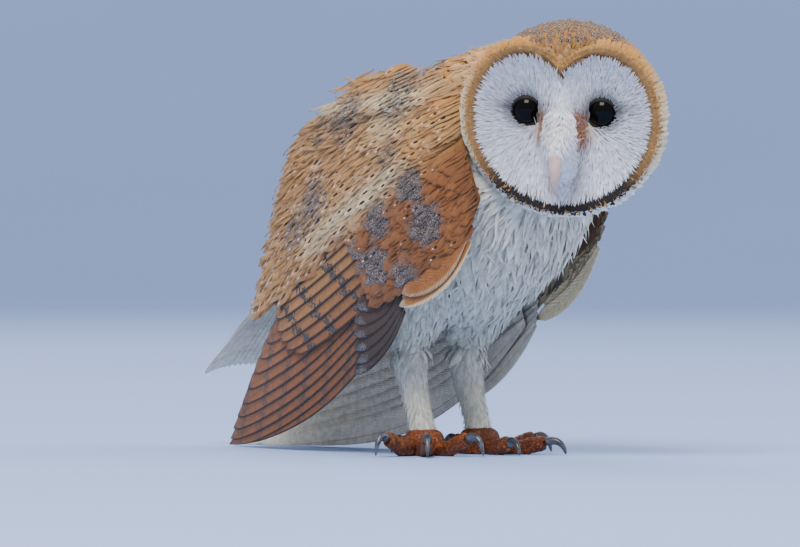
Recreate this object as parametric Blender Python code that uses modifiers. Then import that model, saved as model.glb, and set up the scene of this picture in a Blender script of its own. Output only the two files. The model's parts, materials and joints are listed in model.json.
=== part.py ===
"""A barn owl at life size, standing hunched on the floor with its face turned to its right.

The owl faces -Y, its left side is at +X and +Z is up. All sizes below are millimetres, and a place
is written as (forward, right, height): how far it is in front of the point between the feet, how
far to the owl's right, and how high above the floor. mm() turns one into metres in Blender's axes.
"""
import math

import bmesh
import bpy
import numpy as np
from mathutils import Matrix, Vector

MM = 0.001
GAP = 0.3  # left between two solids that meet
FLOOR = 0.0
SLAB_WIDTH = 700.0  # wider than the owl
SLAB_DEPTH = 30.0

# Head and face. Face places are (left, up, out) from the middle of the facial disc.
FACE_PLACE = (98.0, 19.8, 163.0)
FACE_TURN = math.radians(51)  # to the owl's right
FACE_NOD = math.radians(12)
FACE_TILT = math.radians(2)  # the left eye is the lower one
DISC_RADIUS = 44.6
DISC_NOTCH = 0.5  # how far the notch at the top comes in, as a share of the radius
DISC_NOTCH_HALF = math.radians(30)
DISC_DEPTH = 10.0  # of the disc's own solid, behind its rim
DISC_AHEAD = 60.0  # clear in front of the bill
RIM_OUT = 2.0
BOWL_DEPTH = 5.5
DISC_WITHIN = 0.965  # the disc's solid stops this share of the way out to the heart's rim
EYE_SPACING = 36.0
EYE_UP = 1.2
EYE_OUT = -7.4
EYE_RADIUS = 8.2
# How far the bridge stands out of the bowls, and its half width, by height on the face.
BRIDGE = ((-46, 0, 4), (-36, 2, 4), (-28, 8, 4.5), (-20, 20, 5.2), (-13, 25, 7), (0, 14, 9),
          (15, 6, 7), (26, 3, 5), (46, 0, 5))
# Skull behind the rim: out, half width, rise, drop.
SKULL = ((0, 44.6, 38, 44.6), (-9, 46, 41.5, 45), (-19, 45.5, 41.5, 42), (-29, 42, 41, 36),
         (-39, 34, 35, 27), (-47, 22, 24, 16), (-52, 0, 0, 0))
# Bill rows: left, up, out, half width, half depth.
BILL_UPPER = ((0, -8, 13, 0, 0), (0, -10, 16, 4.4, 4.4), (0, -15, 20.5, 4.3, 4.6),
              (0, -22, 23.8, 3.3, 3.7), (0, -29, 23.6, 2.0, 2.3), (0, -33.4, 20.8, 0.8, 0.9),
              (0, -34.6, 19.4, 0, 0))
BILL_LOWER = ((0, -17, 11, 0, 0), (0, -18.5, 12.5, 2.8, 2.0), (0, -24, 16.2, 2.6, 1.9),
              (0, -28.6, 18.6, 1.4, 1.1), (0, -30.2, 19.2, 0, 0))

# Soft forms, as rows of (forward, right, height, half width, rise, drop) along each one's spine.
TRUNK = ((-124, 0, 95, 0, 0, 0), (-104, 0, 103, 18, 17, 15), (-78, 0, 112, 33, 40, 31),
         (-48, 0, 119, 41, 54, 48), (-15, 0, 124, 45, 59, 60), (15, 0, 127, 46, 62, 66),
         (42, 0, 126, 45, 50, 53), (61, 0, 122, 37, 37, 38), (73, 0, 118, 0, 0, 0))
NECK = ((-14, 0, 128, 0, 0, 0), (4, 0, 138, 36, 50, 36), (28, 0, 147, 41, 50, 42),
        (51, 0, 155, 39, 47, 38), (71, -2, 163, 31, 38, 32), (82, -3, 167, 0, 0, 0))
THIGH = ((-6, 20, 106, 0, 0, 0), (-6, 24, 94, 19, 23, 23), (-10, 24, 77, 19, 22, 22),
         (-14, 20, 62, 14, 15, 15), (-17, 17.5, 51, 10.5, 11, 11), (-17, 17.5, 42, 0, 0, 0))
SHANK = ((-17, 17.5, 57, 0, 0, 0), (-17, 17.5, 50, 9.6, 10, 10), (-15, 17.5, 39, 8.5, 8.6, 8.6),
         (-12, 17.5, 27, 7.4, 7.4, 7.4), (-8, 17.5, 16, 7, 7, 7), (-7, 17.5, 9, 7.6, 7.6, 7.6),
         (-7, 17.5, 2, 0, 0, 0))
PALM = ((-6, 17.5, 14, 0, 0, 0), (-6, 17.5, 11.5, 7.8, 7.8, 7.8), (-6, 17.5, 7, 10, 10, 10),
        (-6, 17.5, 2, 10, 10, 10), (-6, 17.5, -2, 7, 7, 7), (-6, 17.5, -4, 0, 0, 0))
HOCK_HEIGHT = 50.0
ANKLE_HEIGHT = 11.0
FOOT_PLACE = (-6.0, 17.5)
FLESH_VOXEL = 7.0
FLESH_KEPT = 0.27  # share of the skin's faces that stay after it is lightened
# Regions that part the neck and thighs off the trunk: place, then half sizes.
NECK_REGION = ((66, -3, 172), (32, 60, 52))
NECK_SLOPE = math.radians(28)
THIGH_REGION = ((-11, 24, 70), (29, 17, 40))
THIGH_LEAN = math.radians(20)  # the top of the region leans out

# Toes: heading from straight ahead to the outside in degrees, length, height of the last joint.
TOES = {
    "right": {"inner": (-5, 29, 8.6), "middle": (38, 33, 8.8), "outer": (80, 27.5, 8.8),
              "hind": (184, 18, 6.5)},
    "left": {"inner": (-12, 29, 6.2), "middle": (24, 35, 6.0), "outer": (62, 27, 7.5),
             "hind": (180, 18, 6.5)},
}
TOE_START = 4.0
TOE_HALF = (2.7, 3.3, 3.5, 3.3, 3.0)
TOE_HEIGHTS = (0.62, 0.5, 0.45, 0.75, 1.0)  # of the last joint's height
TOE_PAD = 0.6  # how much fuller a toe is underneath
SMALL_CLAW = 0.78  # size of the hind and outer claws beside the others
# Claw rows: ahead of the toe's end, height as a share of the toe end's, half thickness.
CLAW = ((0.9, 1.0, 0), (1.1, 1.02, 2.1), (3.6, 1.16, 1.9), (7.0, 1.04, 1.55), (9.6, 0.66, 1.15),
        (10.6, 0.28, 0.7), (10.8, 0.12, 0.35), (10.8, 0.07, 0))

# Wings. The folded wing is a curved sheet beside the body. "Along" runs from the bend of the wing
# to its tip and "across" is square to that, upwards.
WING_BEND = {"right": (52.0, 120.0), "left": (40.0, 116.0)}  # forward, height
WING_TIP = (-167.0, -1.0)
FLOOR_SOFTNESS = 1.5  # how gently the wing's edge bends to lie along the floor
WING_REACH = ((-172, 7), (-140, 17), (-100, 30), (-50, 42), (0, 48.5), (30, 48.5), (62, 43))
WING_WIDEST = ((-172, 8), (-100, 60), (-50, 92), (0, 116), (62, 128))
WING_CREST = ((-172, 60), (-131, 80), (-114, 118), (-101, 146), (-80, 162), (-56, 175),
              (-30, 182), (15, 184), (62, 180))
CREST_IN = 0.45  # how much of its reach the sheet has lost at the crest
UNDER_IN = 6.0
LEFT_SAG = 10.0  # the left wing hangs this much lower along its leading edge
LEFT_TUCK = 3.0  # and lies this much closer to the body
SCAPULAR_EDGE = 24.0  # across the wing, where the shoulder feathers begin, alike on both sides
WING_UNDERSIDE = -36.0  # across, the lowest that the body must keep clear of the wing
WING_CLEARANCE = 30.0  # how far out from the wing's inner face nothing of the body may lie
EDGE_THICKNESS = 0.7  # of a wing group's rim
LEAST_EDGE_SHARE = 0.3  # but no less than this share of the group's own thickness
# Each group of feathers: (along, lower edge, upper edge) rows, lift off the body, thickness.
WING_GROUPS = {
    "arm": (((-15, -7, 22), (-8, -13, 22.5), (8, -17, 23), (35, -15.5, 23), (61.5, -12.5, 23.5)),
            0.4, 7.0),
    "alula": (((4, -22, -18), (14, -27, -17.7), (30, -28, -16.5), (46, -26, -15), (56, -21, -16)),
              3.2, 3.2),
    "primary_coverts": (((60, -29, -13), (80, -33, -12.6), (98, -34.5, -12.6), (112, -32, -13),
                         (120, -26, -16)), 2.6, 2.0),
    "secondaries": (((62.3, -12, 24), (90, -12, 27), (115, -10.5, 31), (135, -8, 32.5),
                     (150, -3, 32), (159, 8, 26)), 2.6, 2.6),
    "primaries": (((62.3, -26, 20), (95, -33, 24), (130, -34, 26), (165, -27, 24), (195, -19, 17),
                   (222, -11, 9), (240, -5, 3.5), (247, -2.2, 1.2)), 0.3, 1.7),
    "scapulars": (((-18, 30, 52), (0, 24.5, 74), (30, 24, 90), (68, 25.2, 97), (100, 28.5, 97),
                   (125, 32.6, 88), (155, 34, 64), (178, 35, 47), (190, 36, 40)), 0.5, 6.0),
}

# Tail: (forward, height, half width) from root to tip.
TAIL = ((-100, 99, 11), (-120, 86, 13.5), (-143, 67, 16.5), (-163, 49, 19.5), (-174, 40, 19.5))
TAIL_THICKNESS = 4.5
TAIL_ARCH = 3.5
TAIL_ROLL = math.radians(7)
TAIL_NOTCH = 4.0
TAIL_EDGE_SHARE = 0.25

COLOURS = {
    "plumage_buff": ((0.56, 0.33, 0.14), 0.85),
    "plumage_white": ((0.72, 0.73, 0.72), 0.9),
    "plumage_brown": ((0.30, 0.14, 0.06), 0.8),
    "disc_white": ((0.76, 0.76, 0.79), 0.9),
    "eye": ((0.006, 0.005, 0.005), 0.06),
    "bill": ((0.62, 0.45, 0.38), 0.45),
    "toe_skin": ((0.26, 0.10, 0.035), 0.6),
    "claw": ((0.05, 0.05, 0.06), 0.3),
}


def mm(place):
    """(forward, right, height) in millimetres as a point in metres."""
    forward, right, height = place
    return Vector((-right, -forward, height)) * MM


def through_rows(rows, share):
    """The values at share (0 at the first row, 1 at the last) on a smooth curve through the rows."""
    rows = np.asarray(rows, float)
    place = min(max(share, 0.0), 1.0) * (len(rows) - 1)
    i = min(int(place), len(rows) - 2)
    t = place - i
    a, b = rows[i], rows[i + 1]
    before, after = rows[max(i - 1, 0)], rows[min(i + 2, len(rows) - 1)]
    bend = (2 * before - 5 * a + 4 * b - after) * t**2 + (3 * a - before - 3 * b + after) * t**3
    return 0.5 * (2 * a + (b - before) * t + bend)


def by_key(rows, key):
    """The values at key, which the first column holds in rising order, on a smooth curve."""
    rows = np.asarray(rows, float)
    keys, values = rows[:, 0], rows[:, 1:]
    slopes = np.gradient(values, keys, axis=0)
    key = min(max(key, keys[0]), keys[-1])
    i = min(int(np.searchsorted(keys, key, side="right")) - 1, len(keys) - 2)
    width = keys[i + 1] - keys[i]
    t = (key - keys[i]) / width
    start, end = 2 * t**3 - 3 * t**2 + 1, -2 * t**3 + 3 * t**2
    lead, trail = (t**3 - 2 * t**2 + t) * width, (t**3 - t**2) * width
    found = start * values[i] + end * values[i + 1] + lead * slopes[i] + trail * slopes[i + 1]
    return found if len(found) > 1 else float(found[0])


# ---- Collections, materials and objects ------------------------------------------------------


def empty_scene():
    """Remove whatever the file opened with."""
    for ob in list(bpy.data.objects):
        bpy.data.objects.remove(ob, do_unlink=True)
    for group in list(bpy.data.collections):
        bpy.data.collections.remove(group)


def collection(name):
    group = bpy.data.collections.new(name)
    bpy.context.scene.collection.children.link(group)
    return group


def material(name):
    colour, roughness = COLOURS[name]
    mat = bpy.data.materials.get(name) or bpy.data.materials.new(name)
    mat.use_nodes = True
    shader = mat.node_tree.nodes["Principled BSDF"]
    shader.inputs["Base Color"].default_value = (*colour, 1)
    shader.inputs["Roughness"].default_value = roughness
    shader.inputs["Metallic"].default_value = 0
    mat.diffuse_color = (*colour, 1)
    return mat


def face_out_of(shape):
    """Point a closed shape's faces outwards; an open sheet is left as it is."""
    closed = all(edge.is_manifold for edge in shape.edges)
    if closed and shape.calc_volume(signed=True) < 0:
        bmesh.ops.reverse_faces(shape, faces=shape.faces)


def add_object(name, shape, group, place, finish=None):
    """An object from a bmesh or a mesh, in its collection and under the placing empty."""
    mesh = shape
    if isinstance(shape, bmesh.types.BMesh):
        mesh = bpy.data.meshes.new(name)
        face_out_of(shape)
        shape.to_mesh(mesh)
        shape.free()
    mesh.shade_smooth()
    ob = bpy.data.objects.new(name, mesh)
    group.objects.link(ob)
    ob.parent = place
    if finish:
        mesh.materials.clear()
        mesh.materials.append(material(finish))
    else:
        ob.hide_render = True
        ob.display_type = "WIRE"
    return ob


def boolean(ob, cutter, operation="DIFFERENCE"):
    mod = ob.modifiers.new(f"{operation.lower()}_{cutter.name}", "BOOLEAN")
    mod.operation = operation
    mod.object = cutter
    mod.solver = "EXACT"


# ---- Soft forms pulled along a spine ---------------------------------------------------------


def pulled(rows, around, rings, grow=0.0, place=mm, level=Vector((0, 0, 1))):
    """A ball pulled along a spine: rows hold the spine's three coordinates, then the half width
    and the half heights above and below. The poles of the ball are the first and last rows."""
    shape = bmesh.new()
    bmesh.ops.create_uvsphere(shape, u_segments=around, v_segments=rings, radius=1)
    step = 0.02
    for vert in shape.verts:
        share = math.acos(max(-1.0, min(1.0, vert.co.z))) / math.pi
        turn = math.atan2(vert.co.y, vert.co.x)
        row = through_rows(rows, share)
        centre = place(row[:3])
        ahead = place(through_rows(rows, min(share + step, 1))[:3])
        behind = place(through_rows(rows, max(share - step, 0))[:3])
        tangent = (ahead - behind).normalized()
        side = level.cross(tangent).normalized()
        rise = tangent.cross(side)
        at_pole = share < 1e-4 or share > 1 - 1e-4
        swell = 0 if at_pole else grow
        half = max(row[3], 0) + swell
        tall = max(row[4] if math.sin(turn) >= 0 else row[-1], 0) + swell
        vert.co = centre + (side * half * math.cos(turn) + rise * tall * math.sin(turn)) * MM
        if at_pole and grow:
            vert.co += tangent * grow * MM * (1 if share > 0.5 else -1)
    return shape


def mirrored(rows, side):
    """Rows written for the right side, moved to the left if that is asked for."""
    sign = 1 if side == "right" else -1
    return [(row[0], sign * row[1], *row[2:]) for row in rows]


def ellipsoid(centre, half_sizes, grow=0.0, slope=0.0, lean=0.0):
    """A ball scaled to (forward, right, height) half sizes, tipped nose up by slope and leaning
    to the owl's right by lean."""
    shape = bmesh.new()
    bmesh.ops.create_uvsphere(shape, u_segments=16, v_segments=10, radius=1)
    forward, right, height = ((size + grow) * MM for size in half_sizes)
    scale = Matrix.Diagonal((right, forward, height, 1))
    tip = Matrix.Rotation(-slope, 4, "X") @ Matrix.Rotation(-lean, 4, "Y")
    bmesh.ops.transform(shape, matrix=Matrix.Translation(mm(centre)) @ tip @ scale, verts=shape.verts)
    return shape


def slab(low, high):
    """A wide box between two heights."""
    shape = bmesh.new()
    bmesh.ops.create_cube(shape, size=1)
    width = SLAB_WIDTH * MM
    size = Matrix.Diagonal((width, width, (high - low) * MM, 1))
    middle = Matrix.Translation((0, 0, (low + high) / 2 * MM))
    bmesh.ops.transform(shape, matrix=middle @ size, verts=shape.verts)
    return shape


# ---- Head ------------------------------------------------------------------------------------


def face_axes():
    """The face's left, up and out directions."""
    level_out = Vector((-math.sin(FACE_TURN), -math.cos(FACE_TURN), 0))
    out = level_out * math.cos(FACE_NOD) + Vector((0, 0, -math.sin(FACE_NOD)))
    left = Vector((0, 0, 1)).cross(level_out)
    up = out.cross(left)
    tilted_left = left * math.cos(FACE_TILT) - up * math.sin(FACE_TILT)
    return tilted_left, out.cross(tilted_left), out


def on_face(place):
    """(left, up, out) on the face in millimetres as a point in metres."""
    left, up, out = face_axes()
    return mm(FACE_PLACE) + (left * place[0] + up * place[1] + out * place[2]) * MM


def heart_radius(angle):
    """The facial disc's outline: round, with a notch at the top."""
    off_top = abs((angle - math.pi / 2 + math.pi) % (2 * math.pi) - math.pi)
    notch = math.exp(-((off_top / DISC_NOTCH_HALF) ** 1.4))
    return DISC_RADIUS * (1 - DISC_NOTCH * notch)


def face_out(left, up):
    """How far out the face is: two bowls with the bridge between them, inside the heart's rim."""
    share = math.hypot(left, up) / heart_radius(math.atan2(up, left))
    bridge, half = by_key(BRIDGE, up)
    bowl = BOWL_DEPTH * max(1 - share**2, 0) ** 0.8
    beyond = max(share - 1, 0)
    return RIM_OUT - bowl - 3 * beyond + bridge * math.exp(-((left / half) ** 2))


def head_form(grow=0.0):
    """Skull and face as one closed form: a ball whose front rings follow the face and whose back
    rings follow the skull."""
    around, rings, face_rings = 24, 16, 8
    shape = bmesh.new()
    bmesh.ops.create_uvsphere(shape, u_segments=around, v_segments=rings, radius=1)
    for vert in shape.verts:
        ring = round(math.acos(max(-1.0, min(1.0, vert.co.z))) / math.pi * rings)
        turn = math.atan2(vert.co.y, vert.co.x)
        back = max(ring - face_rings, 0) / (rings - face_rings)
        out, half, rise, drop = through_rows(SKULL, back)
        tall = rise if math.sin(turn) > 0 else drop
        inward = min(ring / face_rings, 1) ** 0.9
        swell = grow if 0 < ring < rings else 0
        left = (half * inward + swell) * math.cos(turn)
        up = (tall * inward + swell) * math.sin(turn)
        if ring < face_rings:
            out = face_out(left, up)
        elif ring == face_rings:
            out = RIM_OUT - 1.0
        if ring == rings:
            out, left, up = out - grow, 0, 4
        vert.co = on_face((left, up, out))
    return shape


def heart_prism(grow):
    """The disc's outline drawn through the face, as deep as the disc's own solid."""
    shape = bmesh.new()
    bmesh.ops.create_cone(shape, cap_ends=True, segments=32, radius1=1, radius2=1, depth=1)
    for vert in shape.verts:
        turn = math.atan2(vert.co.y, vert.co.x)
        radius = heart_radius(turn) * DISC_WITHIN + grow
        out = DISC_AHEAD if vert.co.z > 0 else -DISC_DEPTH - grow
        vert.co = on_face((radius * math.cos(turn), radius * math.sin(turn), out))
    return shape


def eye_ball(side, grow=0.0):
    left = EYE_SPACING / 2 * (1 if side == "left" else -1)
    shape = bmesh.new()
    bmesh.ops.create_uvsphere(shape, u_segments=14, v_segments=8, radius=(EYE_RADIUS + grow) * MM)
    _, up, out = face_axes()
    face = Matrix((up.cross(out), up, out)).transposed().to_4x4()
    centre = Matrix.Translation(on_face((left, EYE_UP, EYE_OUT)))
    bmesh.ops.transform(shape, matrix=centre @ face, verts=shape.verts)
    return shape


def bill_form(rows, grow=0.0):
    left, _, _ = face_axes()
    level = left.cross((on_face(rows[-1][:3]) - on_face(rows[0][:3])).normalized())
    return pulled(rows, 8, 7, grow, on_face, level)


# ---- Feet ------------------------------------------------------------------------------------


def toe_place(side, heading, ahead, height):
    """A place on a toe's line: how far along its heading from the middle of the foot."""
    out = 1 if side == "right" else -1
    angle = math.radians(heading)
    forward = FOOT_PLACE[0] + ahead * math.cos(angle)
    return forward, out * (FOOT_PLACE[1] + ahead * math.sin(angle)), height


def toe_rows(side, heading, length, joint):
    rows = [(*toe_place(side, heading, TOE_START, joint * TOE_HEIGHTS[0]), 0, 0, 0)]
    steps = len(TOE_HALF)
    first, last = TOE_START + 1.5, length - 1
    for i, (half, tall) in enumerate(zip(TOE_HALF, TOE_HEIGHTS, strict=True)):
        ahead = first + (last - first) * i / (steps - 1)
        rows.append((*toe_place(side, heading, ahead, joint * tall), half, half, half + TOE_PAD))
    rows.append((*toe_place(side, heading, length, joint), 0, 0, 0))
    return rows


def claw_rows(side, heading, length, joint, name):
    size = SMALL_CLAW if name in ("hind", "outer") else 1.0
    rows = []
    for ahead, tall, half in CLAW:
        thick = half * (0.85 + 0.15 * size)
        rows.append((*toe_place(side, heading, length + ahead * size, joint * tall), thick, thick,
                     thick * 1.15))
    return rows


# ---- Wings and tail --------------------------------------------------------------------------


def wing_reach(forward, height):
    """How far out to the side the folded wing's inner face lies."""
    reach = by_key(WING_REACH, forward)
    widest = by_key(WING_WIDEST, forward)
    if height > widest:
        share = (height - widest) / (by_key(WING_CREST, forward) - widest)
        return reach * (1 - CREST_IN * share**2)
    return reach - UNDER_IN * ((widest - height) / 60) ** 2 * min(reach / 40, 1)


def wing_place(side, along, across, lift):
    """A point on the folded wing, raised off the body by lift."""
    own = min(max(1 - across / SCAPULAR_EDGE, 0), 1) if side == "left" else 0
    bend = Vector(WING_BEND["right"]).lerp(Vector(WING_BEND["left"]), own)
    tip = Vector(WING_TIP)
    line = (tip - bend).normalized()
    length = (tip - bend).length
    hang = math.sin(math.pi * min(max(along / length, 0), 1)) ** 2
    across -= LEFT_SAG * hang * own * min(max((20 - across) / 50, 0), 1)
    forward = bend.x + line.x * along + line.y * across
    height = bend.y + line.y * along - line.x * across
    reach = wing_reach(forward, height)
    step = 1.0
    slope_f = wing_reach(forward + step, height) - reach
    slope_h = wing_reach(forward, height + step) - reach
    normal = Vector((-slope_f, step, -slope_h)).normalized() * lift
    tuck = LEFT_TUCK * own * min(reach / 40, 1)
    above = FLOOR_SOFTNESS * math.log1p(math.exp((height + normal.z) / FLOOR_SOFTNESS))
    place = (forward + normal.x, reach + normal.y - tuck, above)
    return mirrored([place], side)[0]


def wing_sheet(side, rows, lift, across=4, along=9, grow=0.0):
    """An open sheet between a feather group's two edges."""
    shape = bmesh.new()
    bmesh.ops.create_grid(shape, x_segments=along, y_segments=across, size=1)
    first, last = rows[0][0] - grow, rows[-1][0] + grow
    for vert in shape.verts:
        at = first + (last - first) * (vert.co.x + 1) / 2
        low, high = by_key(rows, at)
        share = (vert.co.y + 1) / 2
        vert.co = mm(wing_place(side, at, low - grow + (high - low + 2 * grow) * share, lift))
    return shape


def face_outwards(ob, side):
    """Turn an open sheet's faces to the outside of its wing."""
    mesh = ob.data
    outwards = -1 if side == "right" else 1
    if sum(p.normal.x * p.area for p in mesh.polygons) * outwards < 0:
        mesh.flip_normals()


def thicken(ob, thickness, offset=1):
    mod = ob.modifiers.new("thickness", "SOLIDIFY")
    mod.thickness = thickness * MM
    mod.offset = offset
    mod.use_even_offset = False


def thin_edges(ob, least):
    """Let a solidified sheet run out to a thin rim at its lower, upper and rear edges."""
    group = ob.vertex_groups.new(name="full_thickness")
    shape = bmesh.new()
    shape.from_mesh(ob.data)
    rim = [v.index for v in shape.verts if v.is_boundary]
    inner = [v.index for v in shape.verts if not v.is_boundary]
    shape.free()
    group.add(inner, 1.0, "REPLACE")
    group.add(rim, 0.0, "REPLACE")
    mod = ob.modifiers["thickness"]
    mod.vertex_group = group.name
    mod.thickness_vertex_group = least


def tail_sheet(grow=0.0):
    shape = bmesh.new()
    bmesh.ops.create_grid(shape, x_segments=7, y_segments=4, size=1)
    for vert in shape.verts:
        forward, height, half = through_rows(TAIL, (vert.co.x + 1) / 2)
        side = vert.co.y * (half + grow)
        notch = TAIL_NOTCH * (1 - abs(vert.co.y)) * (vert.co.x > 0.99)
        sunk = TAIL_ARCH * vert.co.y**2 + side * math.sin(TAIL_ROLL)
        ahead = 2 * grow * (vert.co.x < -0.99)
        vert.co = mm((forward + notch + ahead, side * math.cos(TAIL_ROLL), height - sunk + ahead))
    return shape


# ---- The owl ---------------------------------------------------------------------------------


def flesh_mesh(place, group):
    """Trunk, neck and thighs grown into one smooth skin, as a mesh that the nodes are cut from."""
    shape = bmesh.new()
    forms = [(TRUNK, 28, 18), (NECK, 24, 12)]
    forms += [(mirrored(THIGH, side), 16, 12) for side in ("right", "left")]
    for rows, around, rings in forms:
        level = Vector((0, 0, 1)) if abs(rows[0][2] - rows[-1][2]) < 60 else Vector((0, 1, 0))
        part = pulled(rows, around, rings, level=level)
        mesh = bpy.data.meshes.new("form")
        face_out_of(part)
        part.to_mesh(mesh)
        part.free()
        shape.from_mesh(mesh)
        bpy.data.meshes.remove(mesh)
    whole = add_object("flesh_form", shape, group, place)
    remesh = whole.modifiers.new("one_skin", "REMESH")
    remesh.mode = "VOXEL"
    remesh.voxel_size = FLESH_VOXEL * MM
    relax = whole.modifiers.new("relax", "SMOOTH")
    relax.factor = 0.5
    relax.iterations = 3
    lighten = whole.modifiers.new("lighten", "DECIMATE")
    lighten.ratio = FLESH_KEPT
    seen = whole.evaluated_get(bpy.context.evaluated_depsgraph_get())
    mesh = bpy.data.meshes.new_from_object(seen)
    bpy.data.objects.remove(whole, do_unlink=True)
    return mesh


def build_wing(side, parts, cutters, place, floor):
    """The feather groups of one wing, and the cutter that keeps the body clear of them."""
    for name, (rows, lift, thickness) in WING_GROUPS.items():
        finish = "plumage_brown" if name in ("primary_coverts", "primaries") else "plumage_buff"
        long_group = name in ("primaries", "scapulars")
        sheet = wing_sheet(side, rows, lift, across=4, along=12 if long_group else 8)
        ob = add_object(f"wing_{name}_{side}", sheet, parts, place, finish)
        face_outwards(ob, side)
        thicken(ob, thickness)
        thin_edges(ob, max(EDGE_THICKNESS / thickness, LEAST_EDGE_SHARE))
        if name == "primaries":
            boolean(ob, floor)
    # The body keeps clear of everything from the inner face of the wing outwards.
    edge = [(along, WING_UNDERSIDE, upper) for along, _, upper in WING_GROUPS["scapulars"][0]]
    sheet = wing_sheet(side, edge, -GAP, across=6, along=14, grow=GAP)
    clear = add_object(f"wing_clear_{side}", sheet, cutters, place)
    face_outwards(clear, side)
    thicken(clear, WING_CLEARANCE)
    return clear


def build_head(parts, cutters, place):
    head = add_object("head", head_form(), parts, place, "plumage_buff")
    disc = add_object("facial_disc", head_form(), parts, place, "disc_white")
    inside = add_object("disc_region", heart_prism(0), cutters, place)
    boolean(disc, inside, "INTERSECT")
    boolean(head, add_object("disc_clear", heart_prism(GAP), cutters, place))
    for side in ("left", "right"):
        add_object(f"eye_{side}", eye_ball(side), parts, place, "eye")
        socket = add_object(f"socket_{side}", eye_ball(side, GAP), cutters, place)
        boolean(disc, socket)
        boolean(head, socket)
    for name, rows in (("bill_upper", BILL_UPPER), ("bill_lower", BILL_LOWER)):
        add_object(name, bill_form(rows), parts, place, "bill")
        boolean(disc, add_object(f"{name}_clear", bill_form(rows, GAP), cutters, place))
    return add_object("head_clear", head_form(GAP), cutters, place)


def build_leg(side, parts, cutters, place, floor):
    upright = Vector((0, 1, 0))
    shank = pulled(mirrored(SHANK, side), 12, 9, level=upright)
    leg = add_object(f"shank_{side}", shank, parts, place, "plumage_white")
    hock, ankle = HOCK_HEIGHT - GAP, ANKLE_HEIGHT + GAP
    above = add_object(f"above_hock_{side}", slab(hock, hock + SLAB_DEPTH), cutters, place)
    below = add_object(f"below_ankle_{side}", slab(ankle - SLAB_DEPTH, ankle), cutters, place)
    boolean(leg, above)
    boolean(leg, below)
    palm = pulled(mirrored(PALM, side), 12, 7, level=upright)
    foot = add_object(f"foot_{side}", palm, parts, place, "toe_skin")
    top = slab(ANKLE_HEIGHT, ANKLE_HEIGHT + SLAB_DEPTH)
    boolean(foot, add_object(f"above_ankle_{side}", top, cutters, place))
    boolean(foot, floor)
    grown = pulled(mirrored(PALM, side), 12, 7, GAP, level=upright)
    palm_clear = add_object(f"foot_clear_{side}", grown, cutters, place)
    for name, (heading, length, joint) in TOES[side].items():
        rows = toe_rows(side, heading, length, joint)
        toe = add_object(f"toe_{name}_{side}", pulled(rows, 8, 7), parts, place, "toe_skin")
        boolean(toe, palm_clear)
        boolean(toe, floor)
        rows = claw_rows(side, heading, length, joint, name)
        add_object(f"claw_{name}_{side}", pulled(rows, 6, 8), parts, place, "claw")


def build_body(parts, cutters, place, head_clear, wing_clears):
    """Trunk, neck and thighs, parted from one skin by thin cuts."""
    flesh = flesh_mesh(place, cutters)
    trunk = add_object("trunk", flesh, parts, place, "plumage_white")
    neck = add_object("neck", flesh.copy(), parts, place, "plumage_white")
    centre, sizes = NECK_REGION
    region = ellipsoid(centre, sizes, 0, NECK_SLOPE)
    boolean(neck, add_object("neck_region", region, cutters, place), "INTERSECT")
    region = ellipsoid(centre, sizes, GAP, NECK_SLOPE)
    boolean(trunk, add_object("neck_clear", region, cutters, place))
    boolean(neck, head_clear)
    boolean(trunk, head_clear)
    for clear in wing_clears:
        boolean(trunk, clear)
        boolean(neck, clear)
    shank_space = slab(HOCK_HEIGHT - SLAB_DEPTH, HOCK_HEIGHT)
    under_hock = add_object("under_hock", shank_space, cutters, place)
    for side, clear in zip(("right", "left"), wing_clears, strict=True):
        thigh = add_object(f"thigh_{side}", flesh.copy(), parts, place, "plumage_white")
        centre = mirrored([THIGH_REGION[0]], side)[0]
        lean = THIGH_LEAN * (1 if side == "right" else -1)
        region = ellipsoid(centre, THIGH_REGION[1], lean=lean)
        region = add_object(f"thigh_region_{side}", region, cutters, place)
        boolean(thigh, region, "INTERSECT")
        boolean(thigh, under_hock)
        boolean(thigh, clear)
        grown = ellipsoid(centre, THIGH_REGION[1], GAP, lean=lean)
        boolean(trunk, add_object(f"thigh_clear_{side}", grown, cutters, place))
    tail = add_object("tail", tail_sheet(), parts, place, "plumage_white")
    thicken(tail, TAIL_THICKNESS, 0)
    thin_edges(tail, TAIL_EDGE_SHARE)
    around_tail = add_object("tail_clear", tail_sheet(GAP), cutters, place)
    thicken(around_tail, TAIL_THICKNESS + 3 * GAP, 0)
    boolean(trunk, around_tail)


def centre_on_origin(parts, place):
    """Move the placing empty so that the owl's box is centred over the origin, on the floor."""
    bpy.context.view_layer.update()
    graph = bpy.context.evaluated_depsgraph_get()
    corners = []
    for ob in parts.objects:
        seen = ob.evaluated_get(graph)
        corners += [seen.matrix_world @ Vector(corner) for corner in seen.bound_box]
    low = [min(c[i] for c in corners) for i in range(3)]
    high = [max(c[i] for c in corners) for i in range(3)]
    place.location = (-(low[0] + high[0]) / 2, -(low[1] + high[1]) / 2, -low[2])
    bpy.context.view_layer.update()


def main():
    empty_scene()
    parts = collection("barn_owl")
    cutters = collection("cutters")
    place = bpy.data.objects.new("owl_place", None)
    bpy.context.scene.collection.objects.link(place)
    floor = add_object("under_floor", slab(FLOOR - SLAB_DEPTH, FLOOR), cutters, place)
    head_clear = build_head(parts, cutters, place)
    clears = [build_wing(side, parts, cutters, place, floor) for side in ("right", "left")]
    build_body(parts, cutters, place, head_clear, clears)
    for side in ("right", "left"):
        build_leg(side, parts, cutters, place, floor)
    centre_on_origin(parts, place)


main()
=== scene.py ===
"""Barn owl, life size: skin, plumage, eyes, bill, feet, floor, lights and camera.

A place on the owl is (forward, right, height) in millimetres from the point between the feet. The
owl faces -Y, its left side is at +X and +Z is up.
"""

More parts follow.
